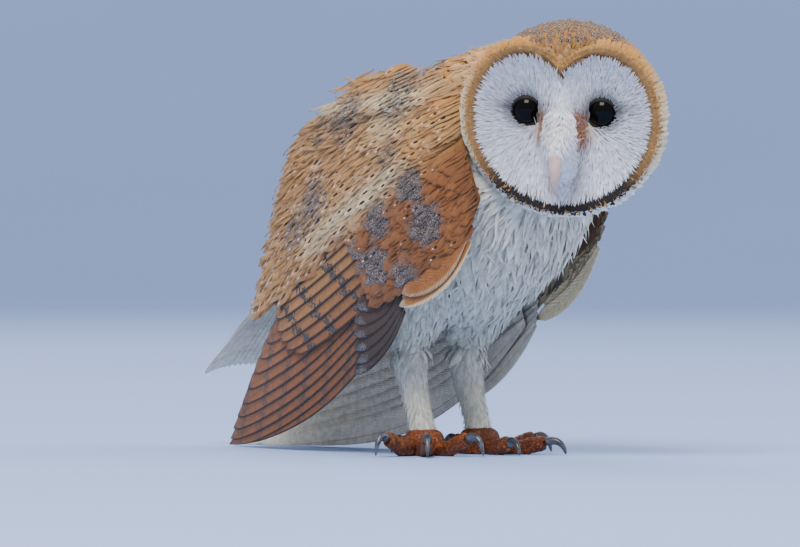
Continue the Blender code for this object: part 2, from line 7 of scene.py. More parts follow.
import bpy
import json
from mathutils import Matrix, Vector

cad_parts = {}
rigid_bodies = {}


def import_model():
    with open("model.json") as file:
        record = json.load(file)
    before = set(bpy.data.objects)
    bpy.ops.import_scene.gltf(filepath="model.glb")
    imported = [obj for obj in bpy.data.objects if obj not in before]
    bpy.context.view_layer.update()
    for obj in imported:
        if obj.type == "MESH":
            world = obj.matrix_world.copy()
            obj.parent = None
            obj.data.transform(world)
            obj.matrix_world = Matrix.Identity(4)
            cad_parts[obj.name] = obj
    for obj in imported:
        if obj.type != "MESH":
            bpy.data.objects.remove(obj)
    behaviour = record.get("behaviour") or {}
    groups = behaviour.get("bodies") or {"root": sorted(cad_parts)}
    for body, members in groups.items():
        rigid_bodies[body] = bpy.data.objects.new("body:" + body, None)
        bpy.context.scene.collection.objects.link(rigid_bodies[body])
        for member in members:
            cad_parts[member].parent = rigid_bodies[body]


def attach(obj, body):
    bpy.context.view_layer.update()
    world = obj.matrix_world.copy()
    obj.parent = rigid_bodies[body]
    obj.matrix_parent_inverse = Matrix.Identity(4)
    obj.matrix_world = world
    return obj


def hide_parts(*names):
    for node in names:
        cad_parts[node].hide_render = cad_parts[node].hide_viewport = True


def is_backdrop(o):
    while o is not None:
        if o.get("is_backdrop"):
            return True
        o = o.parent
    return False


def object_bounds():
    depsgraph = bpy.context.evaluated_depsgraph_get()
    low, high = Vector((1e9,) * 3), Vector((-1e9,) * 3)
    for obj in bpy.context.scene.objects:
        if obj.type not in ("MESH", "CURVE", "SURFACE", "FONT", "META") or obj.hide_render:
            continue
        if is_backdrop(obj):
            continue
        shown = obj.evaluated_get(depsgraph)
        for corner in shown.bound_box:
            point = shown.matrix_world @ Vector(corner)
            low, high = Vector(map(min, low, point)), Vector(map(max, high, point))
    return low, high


bl_info = {
    "name": "Barn Owl Maker",
    "version": (1, 0, 0),
    "blender": (4, 5, 0),
    "location": "View3D > Sidebar > Barn Owl",
    "description": "Dresses a life-size barn owl in skin and feathers",
    "category": "Add Mesh",
}

import json
import math

import bmesh
import bpy
import numpy as np
from mathutils import Matrix, Vector
from mathutils.bvhtree import BVHTree
from mathutils.kdtree import KDTree

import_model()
CAD_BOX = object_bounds()

MM = 0.001
SHIFT = (0.72, -20.897)  # from the point between the feet to the middle of the owl's box
ROOT = "root"
SIDES = ("right", "left")

# ---- Form of the face, wings, tail, bill and toes, in millimetres -------------------------------

FACE_PLACE = (98.0, 19.8, 163.0)
FACE_TURN = math.radians(51)
FACE_NOD = math.radians(12)
FACE_TILT = math.radians(2)
DISC_RADIUS = 44.6
DISC_NOTCH = 0.5
DISC_NOTCH_HALF = math.radians(30)
RIM_OUT = 2.0
BOWL_DEPTH = 5.5
EYE_SPACING = 36.0
EYE_UP = 1.2
EYE_OUT = -7.4
EYE_RADIUS = 8.2
BRIDGE = ((-46, 0, 4), (-36, 2, 4), (-28, 8, 4.5), (-20, 20, 5.2), (-13, 25, 7), (0, 14, 9),
          (15, 6, 7), (26, 3, 5), (46, 0, 5))
BILL_UPPER = ((0, -8, 13, 0, 0), (0, -10, 16, 4.4, 4.4), (0, -15, 20.5, 4.3, 4.6),
              (0, -22, 23.8, 3.3, 3.7), (0, -29, 23.6, 2.0, 2.3), (0, -33.4, 20.8, 0.8, 0.9),
              (0, -34.6, 19.4, 0, 0))
BILL_LOWER = ((0, -17, 11, 0, 0), (0, -18.5, 12.5, 2.8, 2.0), (0, -24, 16.2, 2.6, 1.9),
              (0, -28.6, 18.6, 1.4, 1.1), (0, -30.2, 19.2, 0, 0))
PALM = ((-6, 17.5, 14, 0, 0, 0), (-6, 17.5, 11.5, 7.8, 7.8, 7.8), (-6, 17.5, 7, 10, 10, 10),
        (-6, 17.5, 2, 10, 10, 10), (-6, 17.5, -2, 7, 7, 7), (-6, 17.5, -4, 0, 0, 0))
FOOT_PLACE = (-6.0, 17.5)
TOES = {
    "right": {"inner": (-5, 29, 8.6), "middle": (38, 33, 8.8), "outer": (80, 27.5, 8.8),
              "hind": (184, 18, 6.5)},
    "left": {"inner": (-12, 29, 6.2), "middle": (24, 35, 6.0), "outer": (62, 27, 7.5),
             "hind": (180, 18, 6.5)},
}
TOE_START = 4.0
TOE_HALF = (2.7, 3.3, 3.5, 3.3, 3.0)
TOE_HEIGHTS = (0.62, 0.5, 0.45, 0.75, 1.0)
TOE_PAD = 0.6
SMALL_CLAW = 0.78
CLAW = ((0.9, 1.0, 0), (1.1, 1.02, 2.1), (3.6, 1.16, 1.9), (7.0, 1.04, 1.55), (9.6, 0.66, 1.15),
        (10.6, 0.28, 0.7), (10.8, 0.12, 0.35), (10.8, 0.07, 0))
WING_BEND = {"right": (52.0, 120.0), "left": (40.0, 116.0)}
WING_TIP = (-167.0, -1.0)
FLOOR_SOFTNESS = 1.5
WING_REACH = ((-172, 7), (-140, 17), (-100, 30), (-50, 42), (0, 48.5), (30, 48.5), (62, 43))
WING_WIDEST = ((-172, 8), (-100, 60), (-50, 92), (0, 116), (62, 128))
WING_CREST = ((-172, 60), (-131, 80), (-114, 118), (-101, 146), (-80, 162), (-56, 175),
              (-30, 182), (15, 184), (62, 180))
CREST_IN = 0.45
UNDER_IN = 6.0
LEFT_SAG = 10.0
LEFT_TUCK = 3.0
SCAPULAR_EDGE = 24.0
SCAPULAR_ROWS = ((-18, 30, 52), (0, 24.5, 74), (30, 24, 90), (68, 25.2, 97), (100, 28.5, 97),
                 (125, 32.6, 88), (155, 34, 64), (178, 35, 47), (190, 36, 40))
TAIL = ((-100, 99, 11), (-120, 86, 13.5), (-143, 67, 16.5), (-163, 49, 19.5), (-174, 40, 19.5))
TAIL_ARCH = 3.5
TAIL_ROLL = math.radians(7)

FLESH = ("head", "facial_disc", "neck", "trunk", "thigh_right", "thigh_left", "shank_right",
         "shank_left")
SKIN_DEPTH = (2.6, 1.3, 3.4, 3.4, 2.6, 2.6, 1.2, 1.2)  # coat's depth over each of them
HEAD, DISC, NECK, TRUNK, THIGHS, SHANKS = 0, 1, 2, 3, (4, 5), (6, 7)

TUFT_PATCH = 0.003  # across a small feather's patch on the OFBake map
MAP_MARGIN = 0.01  # kept free around the OFBake map
LEADING_RISE = 0.12  # how far a flight feather's leading edge stands up
TRAILING_TUCK = 0.5  # how far its trailing edge is tucked in
UNDER_BARS = 0.14  # strength of its bars on the under face
BILL_SLIM = 0.8  # width of the bill's horn as a share of the solid's

# Floor, camera and lights, in metres.
FLOOR_RUN = (-6.0, 7.0)
FLOOR_HALF = 7.0
WALL_START = 3.4
WALL_CURVE = 1.4
VIEW_AZIMUTH = math.radians(-40)
VIEW_ELEVATION = math.radians(1.0)
VIEW_DISTANCE = 4.267
AIM_RIGHT = -0.0288
AIM_HEIGHT = 0.0871
# Name, place, size, power and tint.
LIGHTS = (("key", (-1.7, -1.3, 2.6), 1.4, 118, (1.0, 0.985, 0.95)),
          ("fill", (1.9, -1.6, 1.3), 2.0, 26, (0.97, 0.98, 1.0)),
          ("rim", (0.8, 1.8, 2.0), 1.8, 34, (0.97, 0.98, 1.0)))
SKY_COLOUR = (0.87, 0.88, 0.91)
SKY_STRENGTH = 0.72

# Half widths along a feather, as shares of its widest: how far along, then the width.
VANES = {
    "covert": ((0, 0.25), (0.2, 0.7), (0.55, 1), (0.8, 0.9), (0.93, 0.6), (1, 0.14)),
    "flight": ((0, 0.3), (0.1, 0.8), (0.35, 1), (0.75, 0.95), (0.9, 0.74), (0.97, 0.46),
               (1, 0.1)),
    "lance": ((0, 0.3), (0.2, 0.8), (0.5, 1), (0.75, 0.78), (0.9, 0.42), (1, 0.05)),
    "wisp": ((0, 0.35), (0.3, 1), (0.6, 0.75), (0.85, 0.36), (1, 0.04)),
    "bristle": ((0, 0.8), (0.5, 1), (0.8, 0.7), (1, 0.08)),
}


def paint(red, green, blue):
    """A colour on the 0 to 255 scale of a paint chart as linear light."""
    share = np.array([red, green, blue], float) / 255
    return np.where(share <= 0.04045, share / 12.92, ((share + 0.055) / 1.055) ** 2.4)


# ---- Sizes and colours that a user would change -------------------------------------------------


def colour(name, words, chart):
    return bpy.props.FloatVectorProperty(
        name=name, description=words, subtype="COLOR", size=3, min=0, max=1,
        default=tuple(float(part) for part in paint(*chart)))


def length(name, words, metres):
    return bpy.props.FloatProperty(name=name, description=words, default=metres, min=0,
                                   unit="LENGTH", precision=4)


class OwlSizes(bpy.types.PropertyGroup):
    voxel: length("Skin detail", "Size of the cells the skin is grown from", 0.0019)
    bristle: length("Bristle", "Length of the facial disc's bristles", 0.0085)
    crown: length("Crown feather", "Length of the feathers on the crown", 0.0066)
    breast: length("Breast feather", "Length of the soft feathers on the breast", 0.0155)
    mantle: length("Mantle feather", "Length of the feathers on the back", 0.0165)
    scapular: length("Shoulder feather", "Length of the long shoulder feathers", 0.027)
    fuzz: length("Leg fuzz", "Length of the down on the shanks", 0.0048)
    vane: length("Vane thickness", "Thickness of the flight feathers", 0.00028)


class OwlColours(bpy.types.PropertyGroup):
    buff: colour("Buff", "Golden ground of the upper side", (200, 138, 66))
    deep_buff: colour("Deep buff", "Orange ground of the wing coverts", (142, 84, 36))
    cream: colour("Cream", "Pale edges of the neck and shoulders", (240, 218, 174))
    white: colour("White", "Breast, belly and legs", (246, 241, 226))
    disc: colour("Disc", "Cool white of the face", (244, 243, 246))
    rim: colour("Rim", "Golden brown of the face's rim", (190, 138, 76))
    dark: colour("Dark", "Bars, drops and the lower rim", (38, 27, 22))
    brown: colour("Brown", "Flight feathers", (140, 80, 34))
    covert_brown: colour("Covert brown", "Primary coverts", (58, 32, 17))
    grey: colour("Grey", "Ground of the speckled patches", (152, 146, 146))
    underside: colour("Underside", "Inner face of the flight feathers", (255, 246, 226))
    rust: colour("Rust", "Patch at the inner corner of each eye", (184, 112, 58))
    toe: colour("Toe skin", "Scaly skin of the toes", (132, 64, 24))
    horn: colour("Horn", "Bill", (222, 190, 176))
    claw: colour("Claw", "Claws", (62, 62, 70))
    backdrop: colour("Backdrop", "Floor and wall", (166, 191, 240))


def sizes():
    return bpy.context.scene.owl_sizes


def tone(name):
    """One of the owl's colours as linear light."""
    return np.array(getattr(bpy.context.scene.owl_colours, name), float)


# ---- Curves, places and directions --------------------------------------------------------------


def by_key(rows, keys):
    """The values at each key, which the first column holds in rising order, on a smooth curve."""
    rows = np.asarray(rows, float)
    places, values = rows[:, 0], rows[:, 1:]
    slopes = np.gradient(values, places, axis=0)
    keys = np.clip(np.asarray(keys, float), places[0], places[-1])
    i = np.clip(np.searchsorted(places, keys, side="right") - 1, 0, len(places) - 2)
    width = (places[i + 1] - places[i])[..., None]
    t = (keys - places[i])[..., None] / width
    start, end = 2 * t**3 - 3 * t**2 + 1, -2 * t**3 + 3 * t**2
    lead, trail = (t**3 - 2 * t**2 + t) * width, (t**3 - t**2) * width
    found = start * values[i] + end * values[i + 1] + lead * slopes[i] + trail * slopes[i + 1]
    return found if values.shape[1] > 1 else found[..., 0]


def through_rows(rows, share):
    """The values at share (0 at the first row, 1 at the last) on a smooth curve through the rows."""
    rows = np.asarray(rows, float)
    place = min(max(share, 0.0), 1.0) * (len(rows) - 1)
    i = min(int(place), len(rows) - 2)
    t = place - i
    a, b = rows[i], rows[i + 1]
    before, after = rows[max(i - 1, 0)], rows[min(i + 2, len(rows) - 1)]
    bend = (2 * before - 5 * a + 4 * b - after) * t**2 + (3 * a - before - 3 * b + after) * t**3
    return 0.5 * (2 * a + (b - before) * t + bend)


def step(low, high, values):
    """0 below low, 1 above high, and a smooth rise between."""
    t = np.clip((np.asarray(values, float) - low) / (high - low), 0, 1)
    return t * t * (3 - 2 * t)


def spot(values, others, at, half):
    """A soft round patch of 1 around a place in two coordinates."""
    return np.exp(-(((values - at[0]) / half) ** 2 + ((others - at[1]) / half) ** 2))


def blend(a, b, share):
    return a + (b - a) * np.asarray(share)[..., None]


def unit(vectors):
    return vectors / np.maximum(np.linalg.norm(vectors, axis=-1, keepdims=True), 1e-9)


def world(forward, right, height):
    """Places on the owl in millimetres as points in metres."""
    forward, right, height = np.broadcast_arrays(forward, right, height)
    return np.stack([SHIFT[0] - right, SHIFT[1] - forward, height], axis=-1) * MM


def owl_place(points):
    """Points in metres as forward, right and height in millimetres."""
    return SHIFT[1] - points[..., 1] / MM, SHIFT[0] - points[..., 0] / MM, points[..., 2] / MM


def mm(place):
    return Vector(world(*place))


def face_axes():
    """The face's left, up and out directions."""
    level_out = Vector((-math.sin(FACE_TURN), -math.cos(FACE_TURN), 0))
    out = level_out * math.cos(FACE_NOD) + Vector((0, 0, -math.sin(FACE_NOD)))
    left = Vector((0, 0, 1)).cross(level_out)
    up = out.cross(left)
    tilted_left = left * math.cos(FACE_TILT) - up * math.sin(FACE_TILT)
    return tilted_left, out.cross(tilted_left), out


AXES = np.array([tuple(axis) for axis in face_axes()])


def on_face(left, up, out):
    """(left, up, out) on the face in millimetres as points in metres."""
    local = np.stack(np.broadcast_arrays(left, up, out), axis=-1)
    return world(*FACE_PLACE) + local @ AXES * MM


def face_mm(place):
    return Vector(on_face(*place))


def face_place(points):
    """Points in metres as left, up and out on the face in millimetres."""
    local = (points - world(*FACE_PLACE)) / MM @ AXES.T
    return local[..., 0], local[..., 1], local[..., 2]


def heart_radius(angle):
    """The facial disc's outline: round, with a notch at the top."""
    off_top = np.abs((angle - math.pi / 2 + math.pi) % (2 * math.pi) - math.pi)
    return DISC_RADIUS * (1 - DISC_NOTCH * np.exp(-((off_top / DISC_NOTCH_HALF) ** 1.4)))


def heart_share(left, up):
    return np.hypot(left, up) / heart_radius(np.arctan2(up, left))


def face_out(left, up):
    """How far out the face is: two bowls with the bridge between them, inside the rim."""
    share = heart_share(left, up)
    bridge, half = np.moveaxis(by_key(BRIDGE, up), -1, 0)
    bowl = BOWL_DEPTH * np.maximum(1 - share**2, 0) ** 0.8
    return RIM_OUT - bowl - 3 * np.maximum(share - 1, 0) + bridge * np.exp(-((left / half) ** 2))


def face_normal(left, up):
    """Direction straight out of the face's surface, in metres' axes."""
    slope_left = face_out(left + 0.5, up) - face_out(left - 0.5, up)
    slope_up = face_out(left, up + 0.5) - face_out(left, up - 0.5)
    return unit(np.stack([-slope_left, -slope_up, np.ones_like(slope_up)], axis=-1)) @ AXES


def wing_reach(forward, height):
    """How far out to the side the folded wing's inner face lies."""
    reach, widest = by_key(WING_REACH, forward), by_key(WING_WIDEST, forward)
    over = (height - widest) / (by_key(WING_CREST, forward) - widest)
    upper = reach * (1 - CREST_IN * over**2)
    lower = reach - UNDER_IN * ((widest - height) / 60) ** 2 * np.minimum(reach / 40, 1)
    return np.where(height > widest, upper, lower)


def wing_line(side, across):
    """Where the wing's line starts and which way it runs, for each distance across it."""
    own = np.clip(1 - across / SCAPULAR_EDGE, 0, 1) if side == "left" else np.zeros_like(across)
    right, left = np.array(WING_BEND["right"]), np.array(WING_BEND["left"])
    bend = right + (left - right) * own[..., None]
    line = np.array(WING_TIP) - bend
    reach = np.linalg.norm(line, axis=-1)
    return bend, line / reach[..., None], reach, own


def wing_point(side, along, across, lift):
    """Points on the folded wing, raised off the body by lift, in metres."""
    along, across, lift = (np.asarray(a, float) for a in np.broadcast_arrays(along, across, lift))
    bend, line, reach_along, own = wing_line(side, across)
    hang = np.sin(math.pi * np.clip(along / reach_along, 0, 1)) ** 2
    across = across - LEFT_SAG * hang * own * np.clip((20 - across) / 50, 0, 1)
    forward = bend[..., 0] + line[..., 0] * along + line[..., 1] * across
    height = bend[..., 1] + line[..., 1] * along - line[..., 0] * across
    reach = wing_reach(forward, height)
    slope_f = wing_reach(forward + 1, height) - reach
    slope_h = wing_reach(forward, height + 1) - reach
    normal = unit(np.stack([-slope_f, np.ones_like(reach), -slope_h], axis=-1)) * lift[..., None]
    tuck = LEFT_TUCK * own * np.minimum(reach / 40, 1)
    above = FLOOR_SOFTNESS * np.log1p(np.exp((height + normal[..., 2]) / FLOOR_SOFTNESS))
    sign = 1 if side == "right" else -1
    return world(forward + normal[..., 0], sign * (reach + normal[..., 1] - tuck), above)


def wing_place(forward, height):
    """(along, across) on the right wing for places beside it."""
    bend = np.array(WING_BEND["right"])
    line = unit(np.array(WING_TIP) - bend)
    return ((forward - bend[0]) * line[0] + (height - bend[1]) * line[1],
            (forward - bend[0]) * line[1] - (height - bend[1]) * line[0])


def tail_point(along, side, lift):
    """Points on the fanned tail: along it from 0 to 1, across it from -1 to 1."""
    rows = np.asarray(TAIL, float)
    keys = np.linspace(0, 1, len(rows))
    forward, height, half = np.moveaxis(by_key(np.column_stack([keys, rows]), along), -1, 0)
    extra = np.maximum(along - 1, 0)
    forward, height = forward - extra * 60, height - extra * 52
    right = side * half
    sunk = TAIL_ARCH * side**2 + right * math.sin(TAIL_ROLL)
    return world(forward - lift * 0.6, right * math.cos(TAIL_ROLL), height - sunk + lift * 0.8)


# ---- Materials ----------------------------------------------------------------------------------


class Finish:
    """A material's nodes, added and joined by short calls."""

    def __init__(self, name, roughness=0.8, **settings):
        self.material = bpy.data.materials.new(name)
        self.material.use_nodes = True
        self.tree = self.material.node_tree
        self.shader = self.tree.nodes["Principled BSDF"]
        self.shader.inputs["Roughness"].default_value = roughness
        for socket, value in settings.items():
            self.shader.inputs[socket.replace("_", " ")].default_value = value

    def node(self, kind, **sockets):
        made = self.tree.nodes.new(kind)
        for name, value in sockets.items():
            self.join(value, made.inputs[name.replace("_", " ")])
        return made

    def join(self, value, socket):
        if isinstance(value, bpy.types.NodeSocket):
            self.tree.links.new(value, socket)
        else:
            socket.default_value = value

    def math(self, operation, *values, clamp=False):
        made = self.tree.nodes.new("ShaderNodeMath")
        made.operation = operation
        made.use_clamp = clamp
        for value, socket in zip(values, made.inputs):
            self.join(value, socket)
        return made.outputs[0]

    def mix(self, share, first, second, how="MIX"):
        made = self.tree.nodes.new("ShaderNodeMix")
        made.data_type = "RGBA"
        made.blend_type = how
        for socket, value in zip((0, 6, 7), (share, first, second)):
            if isinstance(value, (tuple, list, np.ndarray)):
                value = (*(float(part) for part in value), 1.0)
            self.join(value, made.inputs[socket])
        return made.outputs[2]

    def range(self, value, low, high, to_low=0.0, to_high=1.0):
        made = self.node("ShaderNodeMapRange", Value=value, From_Min=low, From_Max=high,
                         To_Min=to_low, To_Max=to_high)
        made.interpolation_type = "SMOOTHSTEP"
        return made.outputs[0]

    def place(self, stretch=(1, 1, 1)):
        coords = self.node("ShaderNodeTexCoord").outputs["Object"]
        return self.node("ShaderNodeMapping", Vector=coords, Scale=stretch).outputs[0]

    def noise(self, scale, detail=2.0, roughness=0.5, stretch=(1, 1, 1)):
        made = self.node("ShaderNodeTexNoise", Vector=self.place(stretch), Scale=scale,
                         Detail=detail, Roughness=roughness)
        return made.outputs[0]

    def attribute(self, name, output="Color"):
        made = self.node("ShaderNodeAttribute")
        made.attribute_name = name
        return made.outputs[output]

    def bump(self, height, distance, strength=1.0):
        made = self.node("ShaderNodeBump", Height=height, Distance=distance, Strength=strength)
        self.join(made.outputs[0], self.shader.inputs["Normal"])

    def colour(self, value):
        if isinstance(value, np.ndarray):
            value = (*(float(part) for part in value), 1.0)
        self.join(value, self.shader.inputs["Base Color"])
        return self.material


def vane_finish(name, barbs=150.0, bar_width=0.17, bars=True, edge=0.0, shaft=0.25,
                drop_half=0.085):
    """Feathers: ground tint, barbs, shaft, speckle, drops and bars, from the mesh's attributes."""
    f = Finish(name, 0.82, Sheen_Weight=0.12)
    vane = f.node("ShaderNodeUVMap")
    vane.uv_map = "vane"
    split = f.node("ShaderNodeSeparateXYZ", Vector=vane.outputs[0])
    across, along = split.outputs[0], split.outputs[1]
    off = f.math("ABSOLUTE", f.math("MULTIPLY_ADD", across, 2.0, -1.0))
    marks = f.node("ShaderNodeSeparateColor", Color=f.attribute("marks"))
    speckled, dropped, barred = marks.outputs[0], marks.outputs[1], marks.outputs[2]
    # Barbs run out from the shaft and forward.
    slant = f.math("ADD", f.math("MULTIPLY", along, barbs), f.math("MULTIPLY", off, -barbs * 0.16))
    ripple = f.math("SINE", f.math("ADD", slant, f.math("MULTIPLY", f.noise(260.0), 9.0)))
    cloud = f.range(f.noise(330.0, 3.0, 0.6), 0.3, 0.7, 0.86, 1.12)
    value = f.math("MULTIPLY", f.math("MULTIPLY_ADD", ripple, 0.09, 1.0), cloud)
    grown = f.mix(1.0, f.attribute("tint"), f.node("ShaderNodeCombineColor", Red=value, Green=value,
                                                   Blue=value).outputs[0], "MULTIPLY")
    grain = f.range(f.noise(2300.0, 2.0, 0.65), 0.47, 0.66)
    pale = blend(tone("grey"), np.array([0.75, 0.74, 0.76]), 0.2)
    speckle = f.mix(grain, tone("dark") * 1.4, pale)
    ragged = f.range(f.noise(420.0, 2.0), 0.3, 0.7, -0.16, 0.16)
    shown = f.range(f.math("ADD", speckled, ragged), 0.3, 0.75, 0.0, 0.88)
    grown = f.mix(shown, grown, speckle)
    if bars:
        phase = f.math("ADD", f.attribute("bars", "Fac"), f.math("MULTIPLY", ragged, 0.8))
        off_bar = f.math("ABSOLUTE", f.math("SUBTRACT", f.math("FRACT", phase), 0.5))
        bar = f.range(off_bar, bar_width, bar_width * 0.6)
        bar = f.math("MULTIPLY", bar, barred, clamp=True)
        bar_tone = f.mix(f.range(grain, 0.2, 1.0, 0.0, 0.45), tone("dark") * 1.2, tone("grey"))
        grown = f.mix(bar, grown, bar_tone)
    for at, half_across, half_along, drop in (
            (0.72, drop_half, 0.085, tone("dark") * 0.6),
            (0.87, drop_half * 0.6, 0.035, np.array([0.75] * 3))):
        away = f.math("ADD", f.math("POWER", f.math("DIVIDE", off, half_across * 2), 2.0),
                      f.math("POWER", f.math("ABSOLUTE", f.math(
                          "DIVIDE", f.math("SUBTRACT", along, at), half_along)), 2.0))
        grown = f.mix(f.math("MULTIPLY", f.range(away, 1.15, 0.8), dropped), grown, drop)
    # Dark rim along each feather's edge, as strong as edge: partly the flight feathers' dark fringe,
    # partly painted shade in the gaps between overlapping feathers.
    if edge:
        rim = f.range(off, 0.62, 0.95, 0.0, edge)
        if bars:
            rim = f.math("MULTIPLY", rim, f.math("MULTIPLY", barred, 1.6, clamp=True))
        grown = f.mix(rim, grown, tone("dark"))
    line = f.range(off, 0.07, 0.02, 0.0, shaft)
    grown = f.mix(line, grown, tone("dark") * 2)
    f.bump(f.math("ADD", ripple, f.math("MULTIPLY", f.noise(900.0), 1.5)), 0.00012, 0.6)
    return f.colour(grown)


def down_finish():
    """Soft barbs with no vane: tint broken by fine streaks."""
    f = Finish("down", 0.9, Sheen_Weight=0.2)
    cloud = f.range(f.noise(420.0, 3.0, 0.6), 0.3, 0.7, 0.84, 1.1)
    grey = f.node("ShaderNodeCombineColor", Red=cloud, Green=cloud, Blue=cloud).outputs[0]
    f.bump(f.noise(1300.0, 2.0), 0.0001, 0.5)
    return f.colour(f.mix(1.0, f.attribute("tint"), grey, "MULTIPLY"))


def toe_finish():
    f = Finish("toe_skin_scales", 0.55, Specular_IOR_Level=0.4)
    cells = f.node("ShaderNodeTexVoronoi", Vector=f.place(), Scale=620.0)
    cells.feature = "DISTANCE_TO_EDGE"
    plate = f.range(cells.outputs["Distance"], 0.02, 0.22)
    cloud = f.range(f.noise(140.0, 4.0, 0.6), 0.3, 0.7)
    ground = f.mix(cloud, tone("toe") * 0.55, tone("toe") * 1.35)
    ground = f.mix(f.range(plate, 0.0, 1.0, 0.75, 0.0), ground, tone("toe") * 0.22)
    pale = f.range(f.noise(300.0, 3.0), 0.56, 0.72, 0.0, 0.5)
    ground = f.mix(pale, ground, tone("buff") * 0.8)
    f.bump(plate, 0.0004, 0.8)
    return f.colour(ground)


def claw_finish():
    f = Finish("claw_horn", 0.28, Specular_IOR_Level=0.6)
    streak = f.noise(120.0, 3.0, 0.5, (1, 1, 3))
    ground = f.mix(f.range(streak, 0.35, 0.7), tone("claw") * 0.55, tone("claw") * 2.2)
    f.bump(f.noise(500.0), 0.00008, 0.4)
    return f.colour(ground)


def bill_finish():
    f = Finish("bill_horn", 0.38, Specular_IOR_Level=0.5, Subsurface_Weight=0.15,
               Subsurface_Scale=0.002)
    cloud = f.range(f.noise(160.0, 3.0), 0.35, 0.7)
    ground = f.mix(cloud, tone("horn") * 0.78, tone("horn"))
    f.bump(f.noise(700.0), 0.00006, 0.4)
    return f.colour(ground)


def eye_finish():
    f = Finish("eye_cornea", 0.05, IOR=1.22)
    return f.colour(np.array([0.002, 0.0018, 0.002]))


def lid_finish():
    f = Finish("lid_skin", 0.75)
    cloud = f.range(f.noise(900.0, 3.0), 0.3, 0.7)
    f.bump(f.noise(1200.0), 0.0001, 0.6)
    return f.colour(f.mix(cloud, tone("dark") * 0.3, tone("rust") * 0.04))


FINISHES = {
    "soft_vane": lambda: vane_finish("soft_vane", 90.0, bars=False, shaft=0.08, drop_half=0.12),
    # edge sets a dark rim on each feather: partly a dark fringe, partly painted shade between
    # overlapping feathers.
    "covert_vane": lambda: vane_finish("covert_vane", 110.0, bars=False, edge=0.06, shaft=0.18,
                                       drop_half=0.12),
    "flight_vane": lambda: vane_finish("flight_vane", 420.0, 0.13, edge=0.95, shaft=0.35),
    "down": down_finish,
    "toe_skin_scales": toe_finish,
    "claw_horn": claw_finish,
    "bill_horn": bill_finish,
    "eye_cornea": eye_finish,
    "lid_skin": lid_finish,
}


def finish_of(name):
    """The named material, made once."""
    return bpy.data.materials.get(name) or FINISHES[name]()


# ---- Feathers -----------------------------------------------------------------------------------


class Vane:
    """The grid of one feather: where each point is across (-1 to 1) and along (0 to 1) it."""

    def __init__(self, across, along, shape, plate=False):
        u, v = np.meshgrid(np.linspace(-1, 1, across + 1), np.linspace(0, 1, along + 1))
        wide, corner = across + 1, np.arange(across * along) % across
        corner = corner + np.arange(across * along) // across * wide
        faces = np.stack([corner, corner + 1, corner + wide + 1, corner + wide], axis=-1)
        self.u, self.v = u.ravel(), v.ravel()
        self.under = np.zeros(len(self.u))
        if plate:
            count = len(self.u)
            rim = [*range(wide), *range(2 * wide - 1, count, wide),
                   *range(count - 2, count - wide - 1, -1), *range(count - 2 * wide, 0, -wide)]
            around = np.array([(b, a, a + count, b + count)
                               for a, b in zip(rim, rim[1:] + rim[:1])])
            sheet = len(faces)
            faces = np.concatenate([faces, faces[:, ::-1] + count, around])
            self.u, self.v = np.tile(self.u, 2), np.tile(self.v, 2)
            self.under = np.repeat([0.0, 1.0], count)
        self.faces, self.plate = faces, plate
        self.patch = np.stack([self.u[faces] / 2, self.v[faces] - 0.5], axis=-1)
        if plate:  # the upper face, the under face and the rim lie side by side
            turn = np.linspace(-0.5, 0.5, len(around) + 1)
            self.patch[sheet:2 * sheet, :, 0] += 1.1
            self.patch[2 * sheet:, :, 0] = (1.7, 1.7, 1.9, 1.9)
            self.patch[2 * sheet:, :, 1] = np.stack([turn[1:], turn[:-1], turn[:-1], turn[1:]], -1)
        self.half = by_key(VANES[shape], self.v)
        self.spread = self.u * self.half


